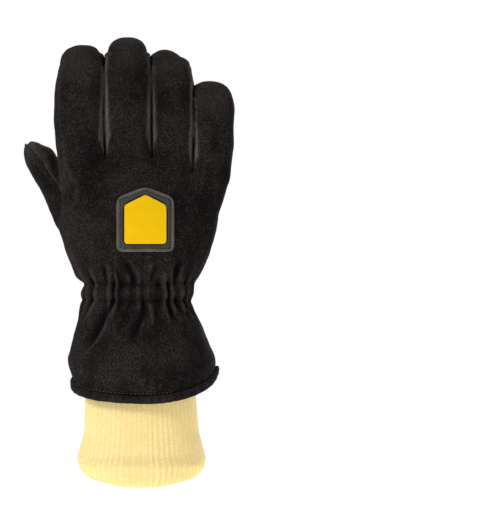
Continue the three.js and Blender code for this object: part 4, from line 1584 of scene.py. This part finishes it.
@dataclass
class Stitching:
    """Runs of stitches laid on a surface.

    Attributes:
        name: name of the piece.
        finish: the thread's finish.
        pitch: from one stitch to the next.
        length: length of a stitch.
        thick: radius of the thread.
        sink: how deep it is drawn in.
        slant: how far each stitch is turned out of the row, in radians.
        lines: the rows of stitches: points and the directions in which they stand out.
    """

    name: str
    finish: PlainFinish
    pitch: float = 2.6 * MM
    length: float = 1.8 * MM
    thick: float = 0.32 * MM
    sink: float = 0.05 * MM
    slant: float = 0.0
    lines: list[list[tuple[Vector, Vector]]] = field(default_factory=list)

    def run(self, surface: BVHTree, starts: list[Vector], towards: list[Vector]) -> None:
        """Casts a line of points onto a surface.

        Args:
            surface: the surface.
            starts: points off it.
            towards: direction in which each one is cast.
        """
        line = []
        for start, way in zip(starts, towards):
            spot, normal, _, _ = surface.ray_cast(start, way)
            if spot is not None:
                line.append((spot, normal if normal.dot(way) < 0 else -normal))
        if len(line) > 2:
            self.lines.append(line)

    def build(self, slot: str | None = None) -> Thing:
        """Builds all stitches as one piece.

        Args:
            slot: handed to declare, which does not use it.

        Returns:
            The piece.
        """
        bm = bmesh.new()
        for line in self.lines:
            spots = np.array([p[:] for p, _ in line])
            ups = np.array([n[:] for _, n in line])
            steps = np.linalg.norm(np.diff(spots, axis=0), axis=1)
            way = np.concatenate([[0], np.cumsum(steps)])
            for at in np.arange(self.pitch / 2, way[-1] - self.length / 2, self.pitch):
                here, ahead, up = (
                    Vector([np.interp(t, way, data[:, k]) for k in range(3)])
                    for t, data in ((at, spots), (at + self.length / 2, spots), (at, ups))
                )
                self.stitch(bm, here, ahead - here, up)
        return declare(as_piece(bm, self.name, self.finish.build()), slot)

    def stitch(self, bm: Mesh, here: Vector, run: Vector, up: Vector) -> None:
        """Adds one stitch.

        Args:
            bm: the mesh.
            here: its middle.
            run: the direction it runs in.
            up: the direction it stands out in.
        """
        x = Matrix.Rotation(self.slant, 3, up) @ run.normalized()
        if x.length < 0.5:
            return
        z = (up - x * up.dot(x)).normalized()
        y = z.cross(x)
        turn = Matrix((x, y, z)).transposed().to_4x4()
        size = Matrix.Diagonal((self.length / 2, self.thick, self.thick, 1))
        place = Matrix.Translation(here + z * (self.thick * 0.35 - self.sink))
        lay = Matrix.Rotation(math.pi / 2, 4, "Y")
        bmesh.ops.create_uvsphere(bm, u_segments=6, v_segments=4, radius=1, matrix=place @ turn @ size @ lay)


# Scene

# Name, place, watts and side of each light.
LAMPS = (
    ("key", (-0.95, -0.75, 0.75), 11, 0.35),
    ("fill", (0.9, -0.9, 0.35), 2.0, 0.8),
    ("top", (0.1, 0.15, 1.1), 5, 0.6),
    ("behind", (0.5, 1.0, 0.7), 10, 0.6),
)


@dataclass
class Stage:
    """Camera, lights, backdrop and floor.

    Attributes:
        distance: from the glove's middle to the camera.
        height: of the camera.
        lens: focal length in millimetres.
        shift: sideways shift, which puts the glove at the left as in the photograph.
    """

    distance: float = 4.0
    height: float = 0.1768
    lens: float = 375.6
    shift: float = 0.2155

    def camera(self) -> None:
        """Adds the camera."""
        data = bpy.data.cameras.new("camera")
        data.lens = self.lens
        data.sensor_width = 36
        data.shift_x = self.shift
        obj = placed("camera", data)
        obj.location = (0, -self.distance, self.height)
        obj.rotation_euler = (math.pi / 2, 0, 0)
        bpy.context.scene.camera = obj

    def light(self, name: str, place: Triple, power: float, size: float) -> None:
        """Adds an area light that faces the glove.

        Args:
            name: its name.
            place: where it stands.
            power: its power in watts.
            size: its side.
        """
        data = bpy.data.lights.new(name, "AREA")
        data.energy = power
        data.size = size
        obj = placed(name, data)
        obj.location = place
        aim = Vector((0, 0, 0.17)) - Vector(place)
        obj.rotation_euler = aim.to_track_quat("-Z", "Y").to_euler()

    def world(self) -> None:
        """Makes the backdrop white and the light that it gives softer."""
        world = bpy.data.worlds.new("backdrop")
        bpy.context.scene.world = world
        world.use_nodes = True
        tree = world.node_tree
        tree.nodes.clear()
        output = tree.nodes.new("ShaderNodeOutputWorld")
        mix = tree.nodes.new("ShaderNodeMixShader")
        rays = tree.nodes.new("ShaderNodeLightPath")
        for socket, strength in ((1, 0.26), (2, 1.0)):
            light = tree.nodes.new("ShaderNodeBackground")
            light.inputs["Color"].default_value = (1, 1, 1, 1)
            light.inputs["Strength"].default_value = strength
            tree.links.new(light.outputs[0], mix.inputs[socket])
        tree.links.new(rays.outputs["Is Camera Ray"], mix.inputs[0])
        tree.links.new(mix.outputs[0], output.inputs[0])

    def floor(self, level: float) -> None:
        """Adds a white floor.

        Args:
            level: its height.
        """
        bm = bmesh.new()
        bmesh.ops.create_grid(bm, x_segments=1, y_segments=1, size=0.5)
        bmesh.ops.translate(bm, verts=bm.verts, vec=(0, 0, level))
        mesh = bpy.data.meshes.new("floor")
        bm.to_mesh(mesh)
        bm.free()
        n = Nodes("floor")
        n.fill(n.shader, Base_Color=(0.9, 0.9, 0.9, 1), Roughness=1.0)
        n.fill(n.shader, Emission_Color=(1, 1, 1, 1), Emission_Strength=0.8)
        mesh.materials.append(n.material)
        placed("floor", mesh)

    def build(self, level: float) -> None:
        """Builds the whole stage.

        Args:
            level: height of the floor.
        """
        bpy.context.scene.view_settings.view_transform = "Standard"
        self.camera()
        self.world()
        self.floor(level)
        for lamp in LAMPS:
            self.light(*lamp)


@dataclass
class Sewing:
    """All stitching of the glove.

    Attributes:
        shape: levels and outlines of the glove.
        pale: thread of the palm.
        dark: thread of the badge.
        grey: thread above the hem on the back.
    """

    shape: Shape
    pale: PlainFinish = thread("pale_thread", (0.3, 0.255, 0.175), (0.05, 0.043, 0.033))
    dark: PlainFinish = thread("dark_thread", (0.012, 0.0105, 0.01), (0.006, 0.0055, 0.005))
    grey: PlainFinish = thread("grey_thread", (0.075, 0.067, 0.06), (0.012, 0.01, 0.009))

    def ring(self, run: Stitching, surface: BVHTree, start: float, end: float, level: float | None,
             above: float = 0.0) -> None:
        """Lays a row round the cuff or the wrist.

        Args:
            run: what takes the row.
            surface: the leather.
            start: angle at which it starts.
            end: angle at which it ends.
            level: its height, or none where it follows the hem.
            above: how far above the hem's seam it runs.
        """
        starts, ways = [], []
        for angle in np.linspace(start, end, 241):
            x, y = self.shape.outline(self.shape.cuff, angle)
            z = level
            if level is None:
                z = self.shape.hem_seam + self.shape.rise(angle) + above
                z += float(self.shape.settle(np.array([[x, y, z]]))[0])
            starts.append(Vector((x * 1.5, y * 1.5, z)))
            ways.append((Vector((0, 0, z)) - starts[-1]).normalized())
        run.run(surface, starts, ways)

    @staticmethod
    def face(run: Stitching, surface: BVHTree, side: Side, points: list[Pair]) -> None:
        """Lays a row on one face.

        Args:
            run: what takes the row.
            surface: what it lies on.
            side: the face.
            points: x and z of points that it runs through, in metres.
        """
        path = np.array(points)
        way = np.concatenate([[0], np.cumsum(np.hypot(*np.diff(path, axis=0).T))])
        at = np.arange(0, way[-1], 0.6 * MM)
        across, up = (np.interp(at, way, path[:, k]) for k in (0, 1))
        starts = [Vector((x, side.value * FAR_OFF, z)) for x, z in zip(across, up)]
        run.run(surface, starts, [Vector((0, -side.value, 0))] * len(starts))

    def build(self, leather: BVHTree, badge: Badge, guard: BVHTree) -> None:
        """Sews everything.

        Args:
            leather: surface of the leather.
            badge: the badge.
            guard: surface of the guard.
        """
        hem_palm = Stitching("hem_stitches_palm", self.pale, thick=0.26 * MM)
        hem_back = Stitching("hem_stitches_back", self.grey, pitch=3.0 * MM, thick=0.28 * MM)
        wrist = Stitching("wrist_stitches_palm", self.pale, pitch=4.4 * MM, length=1.6 * MM, thick=0.3 * MM)
        for row, start, end, level, above in (
            (hem_palm, 0.12, math.pi - 0.12, None, 1.6 * MM),
            (hem_back, -math.pi + 0.4, -1.2, None, 0.9 * MM),
            (wrist, 0.25, 1.45, self.shape.low_elastic, 0.0),
        ):
            self.ring(row, leather, start, end, level, above)
            row.build()
        lo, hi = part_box("badge_border")
        patch = Stitching(
            "badge_stitches", self.dark, pitch=2.1 * MM, length=1.6 * MM, thick=0.48 * MM, slant=0.5
        )
        corners = badge.outline(lo, hi, badge.stitch_inset)
        self.face(patch, badge.surface, Side.BACK, corners + corners[:1])
        patch.build()
        lo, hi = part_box("pulse_guard")
        edge = Stitching("guard_stitches", self.pale, thick=0.26 * MM)
        points = [(lo.x + x * MM, z * MM) for x, z in ((14, 68), (14.5, 40), (16.5, 4.5))]
        points += [(hi.x - x * MM, z * MM) for x, z in ((13, 5), (7, 40), (4, 68))]
        self.face(edge, guard, Side.PALM, points)
        edge.build()


def main() -> None:
    """Builds the scene."""
    logging.basicConfig(level=logging.INFO, format="%(name)s: %(message)s")
    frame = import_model()
    nodes = frame["nodes"]
    shape = Shape()
    leather, guard, badge = LeatherShell(shape), Guard(), Badge()
    leather.build(nodes)
    Hem().build(nodes["cuff_hem"], shape)
    Knit().build(nodes["knit_wrist"], shape)
    guard.build(nodes["pulse_guard"])
    badge.build(nodes)
    Sewing(shape).build(leather.surface, badge, guard.surface)
    Stage().build(0.0)


if __name__ == "__main__":
    main()
